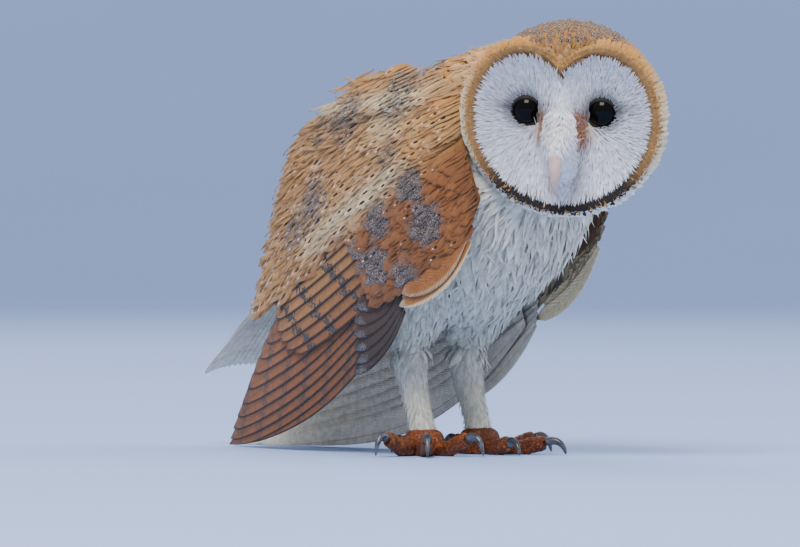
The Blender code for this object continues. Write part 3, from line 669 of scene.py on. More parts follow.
class Coat:
    """Many feathers gathered into one piece."""

    def __init__(self):
        self.kinds = []

    def add(self, vane, points, tint, marks, roots, patch=TUFT_PATCH, bars=None):
        """points: feathers x grid x 3; tint and marks: per feather or per grid point; roots and
        patch: place and size of each feather on the OFBake map."""
        count, grid = points.shape[:2]
        if count == 0:
            return
        spread = [np.broadcast_to(a if a.ndim == 3 else a[:, None, :], (count, grid, 3))
                  for a in (tint, marks)]
        bars = np.zeros((count, grid)) if bars is None else bars
        self.kinds.append((vane, points, *spread, np.asarray(roots, float), bars, patch))

    def build(self, name, finish, replaced=()):
        """Join the feathers into one object that rides on the owl."""
        points, faces, tints, marks, bars, vanes, bakes, start = [], [], [], [], [], [], [], 0
        all_roots = np.concatenate([kind[4] for kind in self.kinds])
        low, high = all_roots.min(axis=0), all_roots.max(axis=0)
        for vane, at, tint, mark, roots, bar, patch in self.kinds:
            count, grid = at.shape[:2]
            index = (vane.faces[None] + np.arange(count)[:, None, None] * grid + start)
            start += count * grid
            points.append(at.reshape(-1, 3))
            faces.append(index.reshape(-1, 4))
            tints.append(tint.reshape(-1, 3))
            marks.append(mark.reshape(-1, 3))
            bars.append(bar.ravel())
            corner_u, corner_v = vane.u[vane.faces].ravel(), vane.v[vane.faces].ravel()
            vanes.append(np.tile(np.stack([corner_u / 2 + 0.5, corner_v], -1), (count, 1)))
            size = np.broadcast_to(np.asarray(patch, float), (2,))
            share = (roots - low) / np.maximum(high - low, 1e-6)
            place = roots if vane.plate else MAP_MARGIN + share * (1 - 2 * MAP_MARGIN)
            bakes.append((place[:, None] + vane.patch.reshape(-1, 2) * size).reshape(-1, 2))
        points, faces = np.concatenate(points), np.concatenate(faces)
        mesh = bpy.data.meshes.new(name)
        mesh.vertices.add(len(points))
        mesh.vertices.foreach_set("co", points.astype(np.float32).ravel())
        mesh.loops.add(faces.size)
        mesh.loops.foreach_set("vertex_index", faces.astype(np.int32).ravel())
        mesh.polygons.add(len(faces))
        mesh.polygons.foreach_set("loop_start", np.arange(0, faces.size, 4, dtype=np.int32))
        mesh.update(calc_edges=True)
        mesh.validate()
        add_uv(mesh, "vane", np.concatenate(vanes))
        add_uv(mesh, "OFBake", np.clip(np.concatenate(bakes), 0.001, 0.999))
        add_colour(mesh, "tint", np.concatenate(tints))
        add_colour(mesh, "marks", np.concatenate(marks))
        phase = mesh.attributes.new("bars", "FLOAT", "POINT")
        phase.data.foreach_set("value", np.concatenate(bars).astype(np.float32))
        mesh.shade_smooth()
        return add_piece(name, mesh, finish_of(finish), replaced)


def add_uv(mesh, name, corners):
    layer = mesh.uv_layers.new(name=name)
    layer.uv.foreach_set("vector", corners.astype(np.float32).ravel())


def add_colour(mesh, name, colours):
    layer = mesh.color_attributes.new(name, "FLOAT_COLOR", "POINT")
    full = np.column_stack([np.clip(colours, 0, 1), np.ones(len(colours))])
    layer.data.foreach_set("color", full.astype(np.float32).ravel())


def add_piece(name, mesh, material, replaced=()):
    """Put a finished mesh in the scene as a piece of the owl."""
    piece = bpy.data.objects.new(name, mesh)
    bpy.context.scene.collection.objects.link(piece)
    mesh.materials.clear()
    mesh.materials.append(material)
    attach(piece, ROOT)
    if replaced:
        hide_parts(*replaced)
    return piece


def flat_vanes(vane, roots, lie, normal, long, wide, sweep=0.0):
    """Feathers laid straight out on the plane of their roots, before they follow the body."""
    side = np.cross(lie, normal)
    ahead = lie[:, None] * (long[:, None] * vane.v)[..., None]
    over = side[:, None] * (wide[:, None] / 2 * vane.spread)[..., None]
    turned = side[:, None] * (np.asarray(sweep)[..., None] * vane.v**2)[..., None]
    return roots[:, None] + ahead + over + turned


def rise(vane, low, high, camber=0.0):
    """Height of each grid point over what the feather lies on: root, tip and arch."""
    low, high = np.atleast_1d(low)[:, None], np.atleast_1d(high)[:, None]
    return low + (high - low) * step(0, 1, vane.v) - camber * vane.u**2


def hugging(points, lifts, tree):
    """Each point moved to its height over the nearest place on the skin."""
    flat = points.reshape(-1, 3)
    lifted = np.empty_like(flat)
    heights = np.broadcast_to(lifts, points.shape[:2]).ravel()
    for i, point in enumerate(flat):
        place, normal, _, _ = tree.find_nearest(point)
        height = heights[i]
        lifted[i] = (place.x + normal.x * height, place.y + normal.y * height,
                     place.z + normal.z * height)
    return lifted.reshape(points.shape)


# ---- Skin ---------------------------------------------------------------------------------------


class Skin:
    """The owl's skin, with what the feathers need to know about it."""

    def __init__(self, points, triangles, labels):
        self.points, self.labels = points, labels
        self.triangles = triangles
        self.tree = BVHTree.FromPolygons(points.tolist(), triangles.tolist())
        a, b, c = (points[triangles[:, i]] for i in range(3))
        cross = np.cross(b - a, c - a)
        self.areas = np.linalg.norm(cross, axis=-1) / 2
        self.normals = unit(cross)

    def scatter(self, seed, spacing, chosen):
        """Roots at least spacing apart on the triangles whose labels are chosen."""
        draw = np.random.default_rng(seed)
        label = self.labels[self.triangles[:, 0]]
        weight = self.areas * np.isin(label, chosen)
        count = int(weight.sum() / (spacing * spacing) * 3.2)
        picked = draw.choice(len(weight), count, p=weight / weight.sum())
        r, s = np.sqrt(draw.random(count)), draw.random(count)
        corners = self.points[self.triangles[picked]]
        shares = np.stack([1 - r, r * (1 - s), r * s], axis=-1)
        roots = (corners * shares[..., None]).sum(axis=1)
        tree = KDTree(count)
        for i, root in enumerate(roots):
            tree.insert(root, i)
        tree.balance()
        kept = np.ones(count, bool)
        for i, root in enumerate(roots):
            if kept[i]:
                for _, j, _ in tree.find_range(root, spacing):
                    if j > i:
                        kept[j] = False
        return roots[kept], self.normals[picked][kept], label[picked][kept], draw


SKIN = []


def skin():
    return SKIN[0]


def node_copy(shape, name, swell=0.0):
    """Add a copy of a solid to a bmesh, with its corners merged and its faces moved out a little."""
    mesh = bpy.data.objects[name].data.copy()
    own = bmesh.new()
    own.from_mesh(mesh)
    bmesh.ops.remove_doubles(own, verts=own.verts, dist=1e-6)
    own.normal_update()
    for vert in own.verts:
        vert.co += vert.normal * swell
    own.to_mesh(mesh)
    own.free()
    shape.from_mesh(mesh)
    bpy.data.meshes.remove(mesh)


def evaluated(shape, name, *mods):
    """A mesh from a bmesh after modifiers given as (type, settings)."""
    mesh = bpy.data.meshes.new(name)
    shape.to_mesh(mesh)
    shape.free()
    ob = bpy.data.objects.new(name, mesh)
    bpy.context.scene.collection.objects.link(ob)
    for kind, settings in mods:
        mod = ob.modifiers.new(kind.lower(), kind)
        for key, value in settings.items():
            setattr(mod, key, value)
    graph = bpy.context.evaluated_depsgraph_get()
    made = bpy.data.meshes.new_from_object(ob.evaluated_get(graph))
    bpy.data.objects.remove(ob, do_unlink=True)
    return made


def read_points(mesh):
    points = np.empty(len(mesh.vertices) * 3, np.float32)
    mesh.vertices.foreach_get("co", points)
    return points.reshape(-1, 3).astype(float)


def read_normals(mesh):
    normals = np.empty(len(mesh.vertices) * 3, np.float32)
    mesh.vertices.foreach_get("normal", normals)
    return normals.reshape(-1, 3).astype(float)


def body_uv(points):
    """An unwrap of the body: round its spine, and along it from the tail to the face."""
    forward, right, height = owl_place(points)
    spine = 118 + 0.35 * forward
    round_body = np.arctan2(right, height - spine) / (2 * math.pi) + 0.5
    along = np.clip((forward + 180) / 330, 0, 1)
    return np.stack([round_body, along], axis=-1)


def body_colour(points, labels):
    """Ground tint, speckle and drops over the body for places on it."""
    forward, right, height = owl_place(points)
    left, up, out = face_place(points)
    white, cream, buff = tone("white"), tone("cream"), tone("buff")
    tint = np.tile(white, (len(points), 1))
    speckle, drops = np.zeros(len(points)), np.zeros(len(points))
    # Under the throat and belly, and a little near the ground, the white is darkened to a faint
    # greenish grey: painted shade on the underside.
    low = step(125, 60, height) * 0.5 + step(40, 0, height) * 0.1
    tint = blend(tint, white * np.array([0.80, 0.84, 0.80]), low)
    head = np.isin(labels, (HEAD, DISC))
    upper = step(2, 34, up)
    crown = blend(blend(white, cream, step(-25, 5, up)), buff, upper)
    tint = np.where(head[:, None], crown, tint)
    crest = step(24, 33, up) * step(40, 22, np.abs(left)) * step(-52, -34, out)
    speckle = np.where(head, crest * 0.74, speckle)
    drops = np.where(head, 0.10 + 0.55 * crest, drops)
    back = step(128, 168, height + 0.35 * (-forward)) * step(60, 20, np.abs(right))
    neck = (labels == NECK)
    nape = blend(white, cream, step(120, 155, height))
    nape = blend(nape, buff * 1.05, step(158, 188, height) * 0.75)
    tint = np.where(neck[:, None], nape, tint)
    drops = np.where(neck, 0.10 * step(130, 160, height), drops)
    trunk = (labels == TRUNK)
    mantle = blend(tint, buff, back)
    tint = np.where(trunk[:, None], mantle, tint)
    ridge = step(160, 176, height) * step(40, 10, forward)
    speckle = np.where(trunk, 0.75 * ridge * back, speckle)
    drops = np.where(trunk, 0.45 * back + 0.10 * (1 - back) * step(20, 32, np.abs(right)), drops)
    rump = trunk & (forward < -85)
    tint = np.where(rump[:, None], blend(buff, cream, step(-85, -110, forward)), tint)
    return tint, speckle, drops


def grow_skin():
    """One skin from the solids of flesh, sunk in by the coat's depth."""
    shape = bmesh.new()
    for name in FLESH:
        node_copy(shape, name, 0.35 * MM)
    mesh = evaluated(
        shape, "owl_skin",
        ("REMESH", {"mode": "VOXEL", "voxel_size": sizes().voxel, "use_smooth_shade": True}),
        ("SMOOTH", {"factor": 0.5, "iterations": 5}))
    points, normals = read_points(mesh), read_normals(mesh)
    distances = np.full((len(FLESH), len(points)), 1.0)
    for row, name in enumerate(FLESH):
        own = bmesh.new()
        node_copy(own, name)
        tree = BVHTree.FromBMesh(own)
        own.free()
        for i, point in enumerate(points):
            place, _, _, distance = tree.find_nearest(point, 0.012)
            if place is not None:
                distances[row, i] = distance
    labels = distances.argmin(axis=0)
    near = np.exp(-distances / 0.003)
    depth = (near * np.array(SKIN_DEPTH)[:, None]).sum(axis=0) / near.sum(axis=0)
    points = points - normals * (depth * MM)[:, None]
    mesh.vertices.foreach_set("co", points.astype(np.float32).ravel())
    mesh.update()
    mesh.calc_loop_triangles()
    triangles = np.array([tuple(t.vertices) for t in mesh.loop_triangles])
    SKIN.clear()
    SKIN.append(Skin(points, triangles, labels))
    tint, _, _ = body_colour(points, labels)
    add_colour(mesh, "tint", tint * 0.8)
    return mesh


# ---- Feathers of the body -----------------------------------------------------------------------


def flow(points, normals, labels):
    """Which way the coat lies at each root."""
    forward, _, height = owl_place(points)
    back = np.tile(world(-0.93, 0, -0.36) - world(0, 0, 0), (len(points), 1))
    down = np.tile(world(-0.30, 0, -0.95) - world(0, 0, 0), (len(points), 1))
    back, down = unit(back), unit(down)
    low = step(135, 95, height) * np.ones(len(points))
    lie = blend(back, down, low)
    left, up, _ = face_place(points)
    radial = unit(np.stack([left, up, np.zeros_like(up)], axis=-1)) @ AXES
    away = unit(radial * 0.30 - AXES[2] * 0.95)
    head = np.isin(labels, (HEAD, DISC))
    near_head = np.where(head, 1.0, 0.5 * (labels == NECK) * step(20, 60, forward))
    lie = blend(lie, away, near_head)
    legs = np.isin(labels, (*THIGHS, *SHANKS))
    lie = np.where(legs[:, None], unit(down + np.array([0, 0, -0.5])), lie)
    lie = lie - normals * (lie * normals).sum(axis=-1, keepdims=True)
    return unit(lie)


def turned(lie, normals, angles):
    """Directions turned about the normals."""
    side = np.cross(normals, lie)
    return lie * np.cos(angles)[:, None] + side * np.sin(angles)[:, None]


def under_wing(points):
    """True where a folded wing covers the body."""
    forward, right, height = owl_place(points)
    along, across = wing_place(forward, height)
    return ((np.abs(right) > 24) & (along > -4) & (along < 165) & (across > -8)
            & (across < by_key(SCAPULAR_ROWS, along)[..., 1] - 8))


def body_tract(coat, seed, chosen, spacing, long, wide, low, high, shape, grid=(2, 4), keep=None,
               sweep=0.0, wild=0.12, stand=0.0, drops=1.0, fade=0.15, camber=0.0004):
    """One kind of feather scattered over part of the body."""
    roots, normals, labels, draw = skin().scatter(seed, spacing, chosen)
    stay = ~under_wing(roots)
    if keep is not None:
        stay &= keep(*owl_place(roots))
    roots, normals, labels = roots[stay], normals[stay], labels[stay]
    count = len(roots)
    lie = turned(flow(roots, normals, labels), normals, draw.normal(0, wild, count))
    tint, speckle, dropped = body_colour(roots, labels)
    length_of = long * draw.uniform(0.8, 1.2, count)
    vane = Vane(*grid, shape)
    bends = sweep * draw.normal(0, 1, count)
    flat = flat_vanes(vane, roots, lie, normals, length_of, wide * draw.uniform(0.8, 1.2, count),
                      bends)
    tops = high * draw.uniform(0.75, 1.15, count)
    lifts = rise(vane, low, tops, camber)
    points = hugging(flat, lifts, skin().tree)
    if stand:
        out = stand * draw.random(count) ** 2
        points += normals[:, None] * (out[:, None] * vane.v**2)[..., None]
    shade = draw.uniform(1 - fade, 1 + fade * 0.5, count)[:, None, None]
    along = (0.80 + 0.22 * vane.v)[None, :, None]
    tints = np.clip(tint[:, None] * shade * along, 0, 1)
    marks = np.zeros((count, len(vane.v), 3))
    marks[..., 0] = speckle[:, None] * step(0.25, 0.6, vane.v)
    marks[..., 1] = (draw.random(count) < dropped * drops)[:, None]
    coat.add(vane, points, tints, marks, body_uv(roots))


def dress_breast():
    coat = Coat()
    front = sizes().breast
    body_tract(coat, 11, (TRUNK,), 0.0042, front, 0.0052, 0.0004, 0.0030, "wisp", (2, 4),
               keep=lambda f, r, h: h < 150 - 0.2 * f, sweep=0.0015, stand=0.0012, fade=0.12)
    body_tract(coat, 12, (TRUNK, NECK), 0.0024, front * 0.95, 0.0016, 0.0012, 0.0036, "wisp",
               (1, 5), keep=lambda f, r, h: h < 150 - 0.2 * f, sweep=0.0028, wild=0.25,
               stand=0.0035, drops=0, fade=0.2)
    return coat.build("breast_feathers", "soft_vane")


def dress_neck():
    coat = Coat()
    body_tract(coat, 21, (NECK,), 0.0034, 0.0125, 0.0052, 0.0004, 0.0030, "covert", (2, 4),
               wild=0.1, fade=0.06)
    body_tract(coat, 22, (NECK,), 0.0022, 0.0105, 0.0014, 0.0015, 0.0036, "wisp", (1, 4),
               sweep=0.001, wild=0.2, stand=0.0014, drops=0, fade=0.12)
    return coat.build("neck_feathers", "soft_vane")


def dress_crown():
    coat = Coat()
    body_tract(coat, 31, (HEAD,), 0.0021, sizes().crown, 0.0032, 0.0003, 0.0021, "covert", (2, 3),
               wild=0.1, fade=0.07, camber=0.0002)
    body_tract(coat, 32, (HEAD,), 0.0019, sizes().crown * 0.9, 0.0011, 0.0012, 0.0027, "wisp",
               (1, 3), wild=0.16, stand=0.0004, drops=0, fade=0.12)
    return coat.build("crown_feathers", "soft_vane")


def dress_mantle():
    coat = Coat()
    body_tract(coat, 41, (TRUNK,), 0.0048, sizes().mantle, 0.0095, 0.0004, 0.0034, "covert",
               (4, 6), keep=lambda f, r, h: h >= 146 - 0.2 * f, fade=0.1)
    body_tract(coat, 42, (TRUNK,), 0.0042, sizes().mantle * 0.9, 0.0022, 0.0018, 0.0040, "wisp",
               (1, 5), keep=lambda f, r, h: h >= 146 - 0.2 * f, wild=0.2, stand=0.0016, drops=0)
    body_tract(coat, 43, (TRUNK,), 0.0050, 0.024, 0.0030, 0.0012, 0.0040, "wisp", (2, 6),
               keep=lambda f, r, h: f < -78, wild=0.2, sweep=0.003, stand=0.0045, drops=0)
    return coat.build("mantle_feathers", "covert_vane")


def dress_legs(side, index):
    coat = Coat()
    body_tract(coat, 51 + index, (THIGHS[index],), 0.0024, 0.0095, 0.0022, 0.0004, 0.0027,
               "wisp", (2, 4), sweep=0.0012, wild=0.2, stand=0.002, drops=0, fade=0.12)
    body_tract(coat, 61 + index, (SHANKS[index],), 0.00125, sizes().fuzz, 0.0008, 0.0001,
               0.0013, "wisp", (1, 3), sweep=0.0004, wild=0.25, stand=0.0011, drops=0, fade=0.16)
    return coat.build(f"leg_feathers_{side}", "soft_vane")


# ---- Face ---------------------------------------------------------------------------------------


def disc_flow(left, up):
    """Bristles run out from each eye, and up the bridge between them."""
    eye = EYE_SPACING / 2 * np.sign(left)
    away = np.stack([left - eye * 0.72, up - (EYE_UP - 7)], axis=-1)
    middle = np.exp(-((left / 5.0) ** 2)) * step(-20, 5, up)
    rising = np.stack([np.sign(left) * 0.25, np.ones_like(up)], axis=-1)
    return unit(blend(unit(away), rising, middle * 0.85))


def disc_colour(left, up):
    """Cool white, rusty at the inner corners of the eyes and dusky at the outer ones."""
    side = np.sign(left)
    eye = EYE_SPACING / 2
    tint = np.tile(tone("disc"), (len(left), 1))
    share = heart_share(left, up)
    tint = blend(tint, tone("disc") * np.array([0.86, 0.86, 0.9]), step(0.55, 0.95, share) * 0.5)
    inner = np.exp(-(((left - side * (eye - 8.2)) / 2.9) ** 2 + ((up - (EYE_UP - 7)) / 5.2) ** 2))
    tint = blend(tint, tone("rust"), np.clip(inner * 1.6, 0, 0.96))
    outer = np.exp(-(((left - side * (eye + 8.5)) / 4.2) ** 2 + ((up - (EYE_UP + 1)) / 2.2) ** 2))
    tint = blend(tint, tone("dark") * 2.5, outer * 0.55)
    around = np.hypot(left - side * eye, up - EYE_UP)
    tint = blend(tint, tone("dark") * 2.2, step(9.2, 6.6, around) * 0.6)
    seam = np.exp(-((left / 0.9) ** 2)) * step(12, 16, up) * step(30, 25, up)
    tint = blend(tint, tone("rim") * 0.5, seam * 0.75)
    cheek = np.exp(-(((np.abs(left) - 6.5) / 2.0) ** 2 + ((up + 24) / 8) ** 2))
    return blend(tint, tone("rust") * 0.9, cheek * 0.4)


def face_vanes(vane, left, up, lie, long, wide, low, high, sweep=0.0):
    """Feathers that lie on the face's own surface."""
    side = np.stack([-lie[:, 1], lie[:, 0]], axis=-1)
    ahead = lie[:, None] * (long[:, None] * vane.v)[..., None]
    over = side[:, None] * (wide[:, None] / 2 * vane.spread
                            + np.asarray(sweep)[..., None] * vane.v**2)[..., None]
    at_left = left[:, None] + ahead[..., 0] - over[..., 0]
    at_up = up[:, None] + ahead[..., 1] - over[..., 1]
    lift = rise(vane, low, high)
    at = on_face(at_left, at_up, face_out(at_left, at_up))
    return at + face_normal(at_left, at_up) * (lift * MM)[..., None]


def clear_of_eyes(left, up, room):
    return np.hypot(np.abs(left) - EYE_SPACING / 2, up - EYE_UP) > room


def dress_disc():
    """Fine stiff bristles over the whole facial disc."""
    coat = Coat()
    draw = np.random.default_rng(71)
    for spacing, long, wide, low, high, grid in (
            (1.15, 1.0, 1.15, -0.5, 0.8, (1, 4)), (1.0, 0.8, 0.45, 0.2, 1.5, (1, 4))):
        steps = np.arange(-DISC_RADIUS, DISC_RADIUS, spacing)
        left, up = (a.ravel() for a in np.meshgrid(steps, steps))
        left = left + draw.uniform(-0.5, 0.5, len(left)) * spacing
        up = up + draw.uniform(-0.5, 0.5, len(up)) * spacing
        lie = disc_flow(left, up)
        long_each = sizes().bristle / MM * long * draw.uniform(0.75, 1.2, len(left))
        long_each *= 0.55 + 0.45 * step(6, 16, np.hypot(np.abs(left) - EYE_SPACING / 2, up - EYE_UP))
        tip_left, tip_up = left + lie[:, 0] * long_each, up + lie[:, 1] * long_each
        stay = ((heart_share(left, up) < 0.95) & (heart_share(tip_left, tip_up) < 0.985)
                & clear_of_eyes(left, up, 6.3) & clear_of_eyes(tip_left, tip_up, 6.6)
                & ~((np.abs(left) < 2.6) & (up < -27) & (up > -36)))
        left, up, lie, long_each = left[stay], up[stay], lie[stay], long_each[stay]
        angle = draw.normal(0, 0.13, len(left))
        lie = np.stack([lie[:, 0] * np.cos(angle) - lie[:, 1] * np.sin(angle),
                        lie[:, 0] * np.sin(angle) + lie[:, 1] * np.cos(angle)], axis=-1)
        vane = Vane(*grid, "bristle")
        points = face_vanes(vane, left, up, lie, long_each, wide * draw.uniform(0.7, 1.2, len(left)),
                            low, high + 0.5 * draw.random(len(left)), draw.normal(0, 0.5, len(left)))
        tint = disc_colour(left, up) * draw.uniform(0.84, 1.04, (len(left), 1))
        tints = tint[:, None] * (0.86 + 0.16 * vane.v)[None, :, None]
        roots = np.stack([left, up], axis=-1)
        coat.add(vane, points, tints, np.zeros((len(left), 3)), roots)
    return coat.build("face_bristles", "down")


def rim_colour(angle, row, draw):
    """Golden brown over the top and sides, black and buff specks along the bottom."""
    below = step(math.radians(-18), math.radians(-52), np.arcsin(np.sin(angle)))
    tint = np.tile(tone("rim"), (len(angle), 1)) * draw.uniform(0.8, 1.15, (len(angle), 1))
    if row == 0:
        tint = blend(tint, tone("dark") * 3.0, np.full(len(angle), 0.35))
    black = draw.random(len(angle)) < (0.97, 0.9, 0.45, 0.0)[row]
    specked = np.where(black[:, None], tone("dark") * 0.8, tone("rim") * 0.85)
    tint = blend(tint, specked, below)
    if row == 3:
        tint = blend(blend(tone("cream"), tone("buff"), step(-0.2, 0.7, np.sin(angle))),
                     tone("white"), below)
    return tint


def rim_line(angle):
    return heart_radius(angle) * np.array([np.cos(angle), np.sin(angle)])


def dress_rim():
    """Rows of small stiff feathers around the heart."""
    coat = Coat()
    draw = np.random.default_rng(81)
    for row, (share, count, long, wide, stand) in enumerate((
            (0.950, 1100, 2.9, 0.9, 2.4), (0.975, 900, 3.4, 1.2, 2.7),
            (1.0, 760, 3.8, 1.5, 2.3), (1.045, 560, 6.0, 2.1, 0.4))):
        angle = np.linspace(-math.pi, math.pi, count, endpoint=False) + draw.normal(0, 0.01, count)
        radius = heart_radius(angle) * (share + draw.normal(0, 0.008, count))
        left, up = radius * np.cos(angle), radius * np.sin(angle)
        along = unit((rim_line(angle + 0.02) - rim_line(angle - 0.02)).T)
        outward = np.stack([along[:, 1], -along[:, 0]], axis=-1)
        inward = np.full(count, -0.15 - 0.28 * row)
        lie = unit(np.column_stack([outward * (0.75 + 0.1 * row), inward])) @ AXES
        normal = unit(np.column_stack([outward * 0.45, np.full(count, 1.0)])) @ AXES
        normal = unit(normal - lie * (normal * lie).sum(axis=-1, keepdims=True))
        roots = on_face(left, up, face_out(left, up) + 0.2)
        vane = Vane(2, 3, "covert")
        flat = flat_vanes(vane, roots, lie, normal, long * MM * draw.uniform(0.85, 1.2, count),
                          wide * MM * draw.uniform(0.8, 1.2, count))
        curve = stand * vane.v - (0.9 + 0.5 * row) * vane.v**2
        points = flat + normal[:, None] * (curve * MM)[None, :, None]
        tint = rim_colour(angle, row, draw)
        tints = tint[:, None] * (0.82 + 0.22 * vane.v)[None, :, None]
        coat.add(vane, points, tints, np.zeros((count, 3)), np.stack([left, up], axis=-1))
    return coat.build("face_rim_feathers", "down")


def dress_bill_base():
    """Short bristles that run down over the root of the bill."""
    coat = Coat()
    draw = np.random.default_rng(91)
    count = 1500
    up = draw.uniform(-22, 4, count)
    half = np.interp(up, (-22, -16, -6, 4), (3.2, 3.9, 4.3, 4.2))
    left = draw.uniform(-1, 1, count) * half
    lie = unit(np.column_stack([left * 0.05, np.full(count, -1.0)]))
    vane = Vane(1, 4, "wisp")
    points = face_vanes(vane, left, up, lie, 6.0 * draw.uniform(0.7, 1.2, count),
                        np.full(count, 0.75), 0.8, 3.0 + draw.random(count) * 1.0,
                        draw.normal(0, 0.4, count))
    tint = np.tile(tone("disc") * 0.97, (count, 1)) * draw.uniform(0.88, 1.04, (count, 1))
    coat.add(vane, points, tint, np.zeros((count, 3)), np.stack([left, up], axis=-1))
    return coat.build("bill_bristles", "down")


# ---- Wings and tail -----------------------------------------------------------------------------


# Grey speckled patches on the wing: (along, across), half size, strength.
PATCHES = (((18, 21), 8, 1.0), ((46, 17), 8.5, 1.0), ((17, 1), 9.5, 1.0), ((74, 13), 7, 1.0),
           ((59, 0), 8.5, 1.0), ((43, -13), 7, 1.0), ((94, 54), 14, 0.62), ((116, 50), 12, 0.6),
           ((30, 42), 9, 0.55), ((60, 78), 15, 0.6), ((20, 70), 14, 0.6), ((84, 84), 12, 0.5))


def wing_colour(along, across):
    """Ground tint and speckle over the wing's small feathers."""
    tint = np.tile(tone("deep_buff"), (*along.shape, 1))
    tint = blend(tint, tone("buff"), step(14, 40, across))
    # A pale streak runs along the lower edge of the shoulder feathers.
    pale = np.exp(-(((across - 30 - 0.05 * along) / 6.5) ** 2))
    pale *= step(8, 36, along) * step(125, 92, along)
    tint = blend(tint, tone("cream"), pale * 0.75)
    tint = blend(tint, tone("covert_brown") * 2.2, step(-2, -16, across) * step(15, 50, along) * 0.3)
    tint = blend(tint, tone("cream"), spot(along, across, (28, 62), 12) * 0.7)
    # The back folds over the shoulder feathers: painted shade darkens the fold, and its edge is
    # cream.
    fold = across - 53 - 0.45 * (along - 7)
    reach = step(-4, 12, along) * step(112, 84, along)
    tint = blend(tint, tone("cream"), np.exp(-(((fold - 8) / 5) ** 2)) * reach * 0.7)
    tint = blend(tint, tone("brown") * 0.5, np.exp(-((fold / 2.8) ** 2)) * reach * 0.7)
    speckle = np.zeros(along.shape)
    for at, half, strength in PATCHES:
        speckle = np.maximum(speckle, strength * np.minimum(spot(along, across, at, half) * 1.6, 1))
    return tint, speckle


def crossed(vane, side):
    """The order in which a feather's grid is used. On the right wing it is turned over, so that
    its faces point away from the body."""
    straight = np.lexsort((vane.u, vane.v, vane.under))
    order = np.empty_like(straight)
    order[straight] = np.lexsort((-vane.u, vane.v, vane.under))
    return order if side == "right" else np.arange(len(order))


def wing_tract(coat, side, seed, inside, spacing, long, wide, low, high, shape, grid=(4, 6),
               slant=0.0, drops=0.0, wild=0.06, bend=0.0):
    """Small feathers laid in staggered rows over part of the wing. long and wide give a
    feather's length and width for its distance along the wing."""
    draw = np.random.default_rng(seed)
    step_along, step_across = spacing
    alongs = np.arange(-24, 200, step_along)
    rows = np.arange(-20, 100, step_across)
    along, across = np.meshgrid(alongs, rows)
    along = along + (np.arange(len(rows)) % 2)[:, None] * step_along / 2
    along = along + draw.normal(0, 0.16 * step_along, along.shape)
    across = across + draw.normal(0, 0.13 * step_across, across.shape)
    along, across = along.ravel(), across.ravel()
    stay = inside(along, across)
    along, across = along[stay], across[stay]
    count = len(along)
    vane = Vane(*grid, shape)
    angle = slant + draw.normal(0, wild, count)
    long_each = long(along) * draw.uniform(0.88, 1.14, count)
    wide_each = wide(along) * draw.uniform(0.85, 1.15, count)
    ahead, over = long_each[:, None] * vane.v, wide_each[:, None] / 2 * vane.spread
    over = over * (1 + draw.normal(0, 0.10, (count, len(vane.v))))
    ahead = ahead * (1 + draw.normal(0, 0.02, (count, len(vane.v))))
    over = over + (bend * draw.normal(0, 1, count))[:, None] * vane.v**2
    cos, sin = np.cos(angle)[:, None], np.sin(angle)[:, None]
    at_along = along[:, None] + ahead * cos - over * sin
    at_across = across[:, None] + ahead * sin + over * cos
    lift = rise(vane, low, high * draw.uniform(0.85, 1.15, count), 0.5)
    points = wing_point(side, at_along, at_across, lift)
    shown = long_each * 0.7  # the part of a feather that shows takes the colour of its own place
    shown_across = across + shown * sin[:, 0]
    tint, speckle = wing_colour(along + shown * cos[:, 0], shown_across)
    if side == "left":
        tint = blend(tint, tone("cream"), 0.85 * step(2, -9, shown_across))
    tint = tint * draw.uniform(0.86, 1.10, (count, 1))
    tint = blend(tint, tone("cream"), draw.uniform(0, 0.22, count) * step(16, 40, across))
    tints = tint[:, None] * (0.80 + 0.24 * vane.v - 0.08 * vane.u**2)[None, :, None]
    marks = np.zeros((count, len(vane.v), 3))
    marks[..., 0] = speckle[:, None] * step(0.1, 0.4, vane.v)
    marks[..., 1] = (draw.random(count) < drops)[:, None]
    roots = np.stack([along, across], axis=-1)
    order = crossed(vane, side)
    coat.add(vane, points[:, order], tints[:, order], marks[:, order], roots)


def within(rows):
    """A test for places between a group's lower and upper edges."""
    first, last = rows[0][0], rows[-1][0]

    def test(along, across):
        low, high = np.moveaxis(by_key(rows, along), -1, 0)
        return (along > first) & (along < last) & (across > low) & (across < high)
    return test


def dress_arm(side, index):
    coat = Coat()
    inside = within(((-18, -6, 20), (-8, -13, 24), (8, -17, 26), (35, -15.5, 26), (58, -12, 26)))
    wing_tract(coat, side, 101 + index, inside, (4.4, 3.0),
               lambda along: 12.5 + 0.10 * np.clip(along, 0, 60),
               lambda along: 5.4 + 0.04 * np.clip(along, 0, 60), 3.8, 5.5, "covert", (4, 6),
               slant=-0.10, drops=0.14)
    wing_tract(coat, side, 103 + index, inside, (2.9, 2.1), lambda along: 9.5,
               lambda along: 1.2, 4.6, 6.1, "wisp", (1, 4), slant=-0.10, wild=0.10,
               bend=0.5)
    return coat.build(f"arm_coverts_{side}", "covert_vane", (f"wing_arm_{side}",))


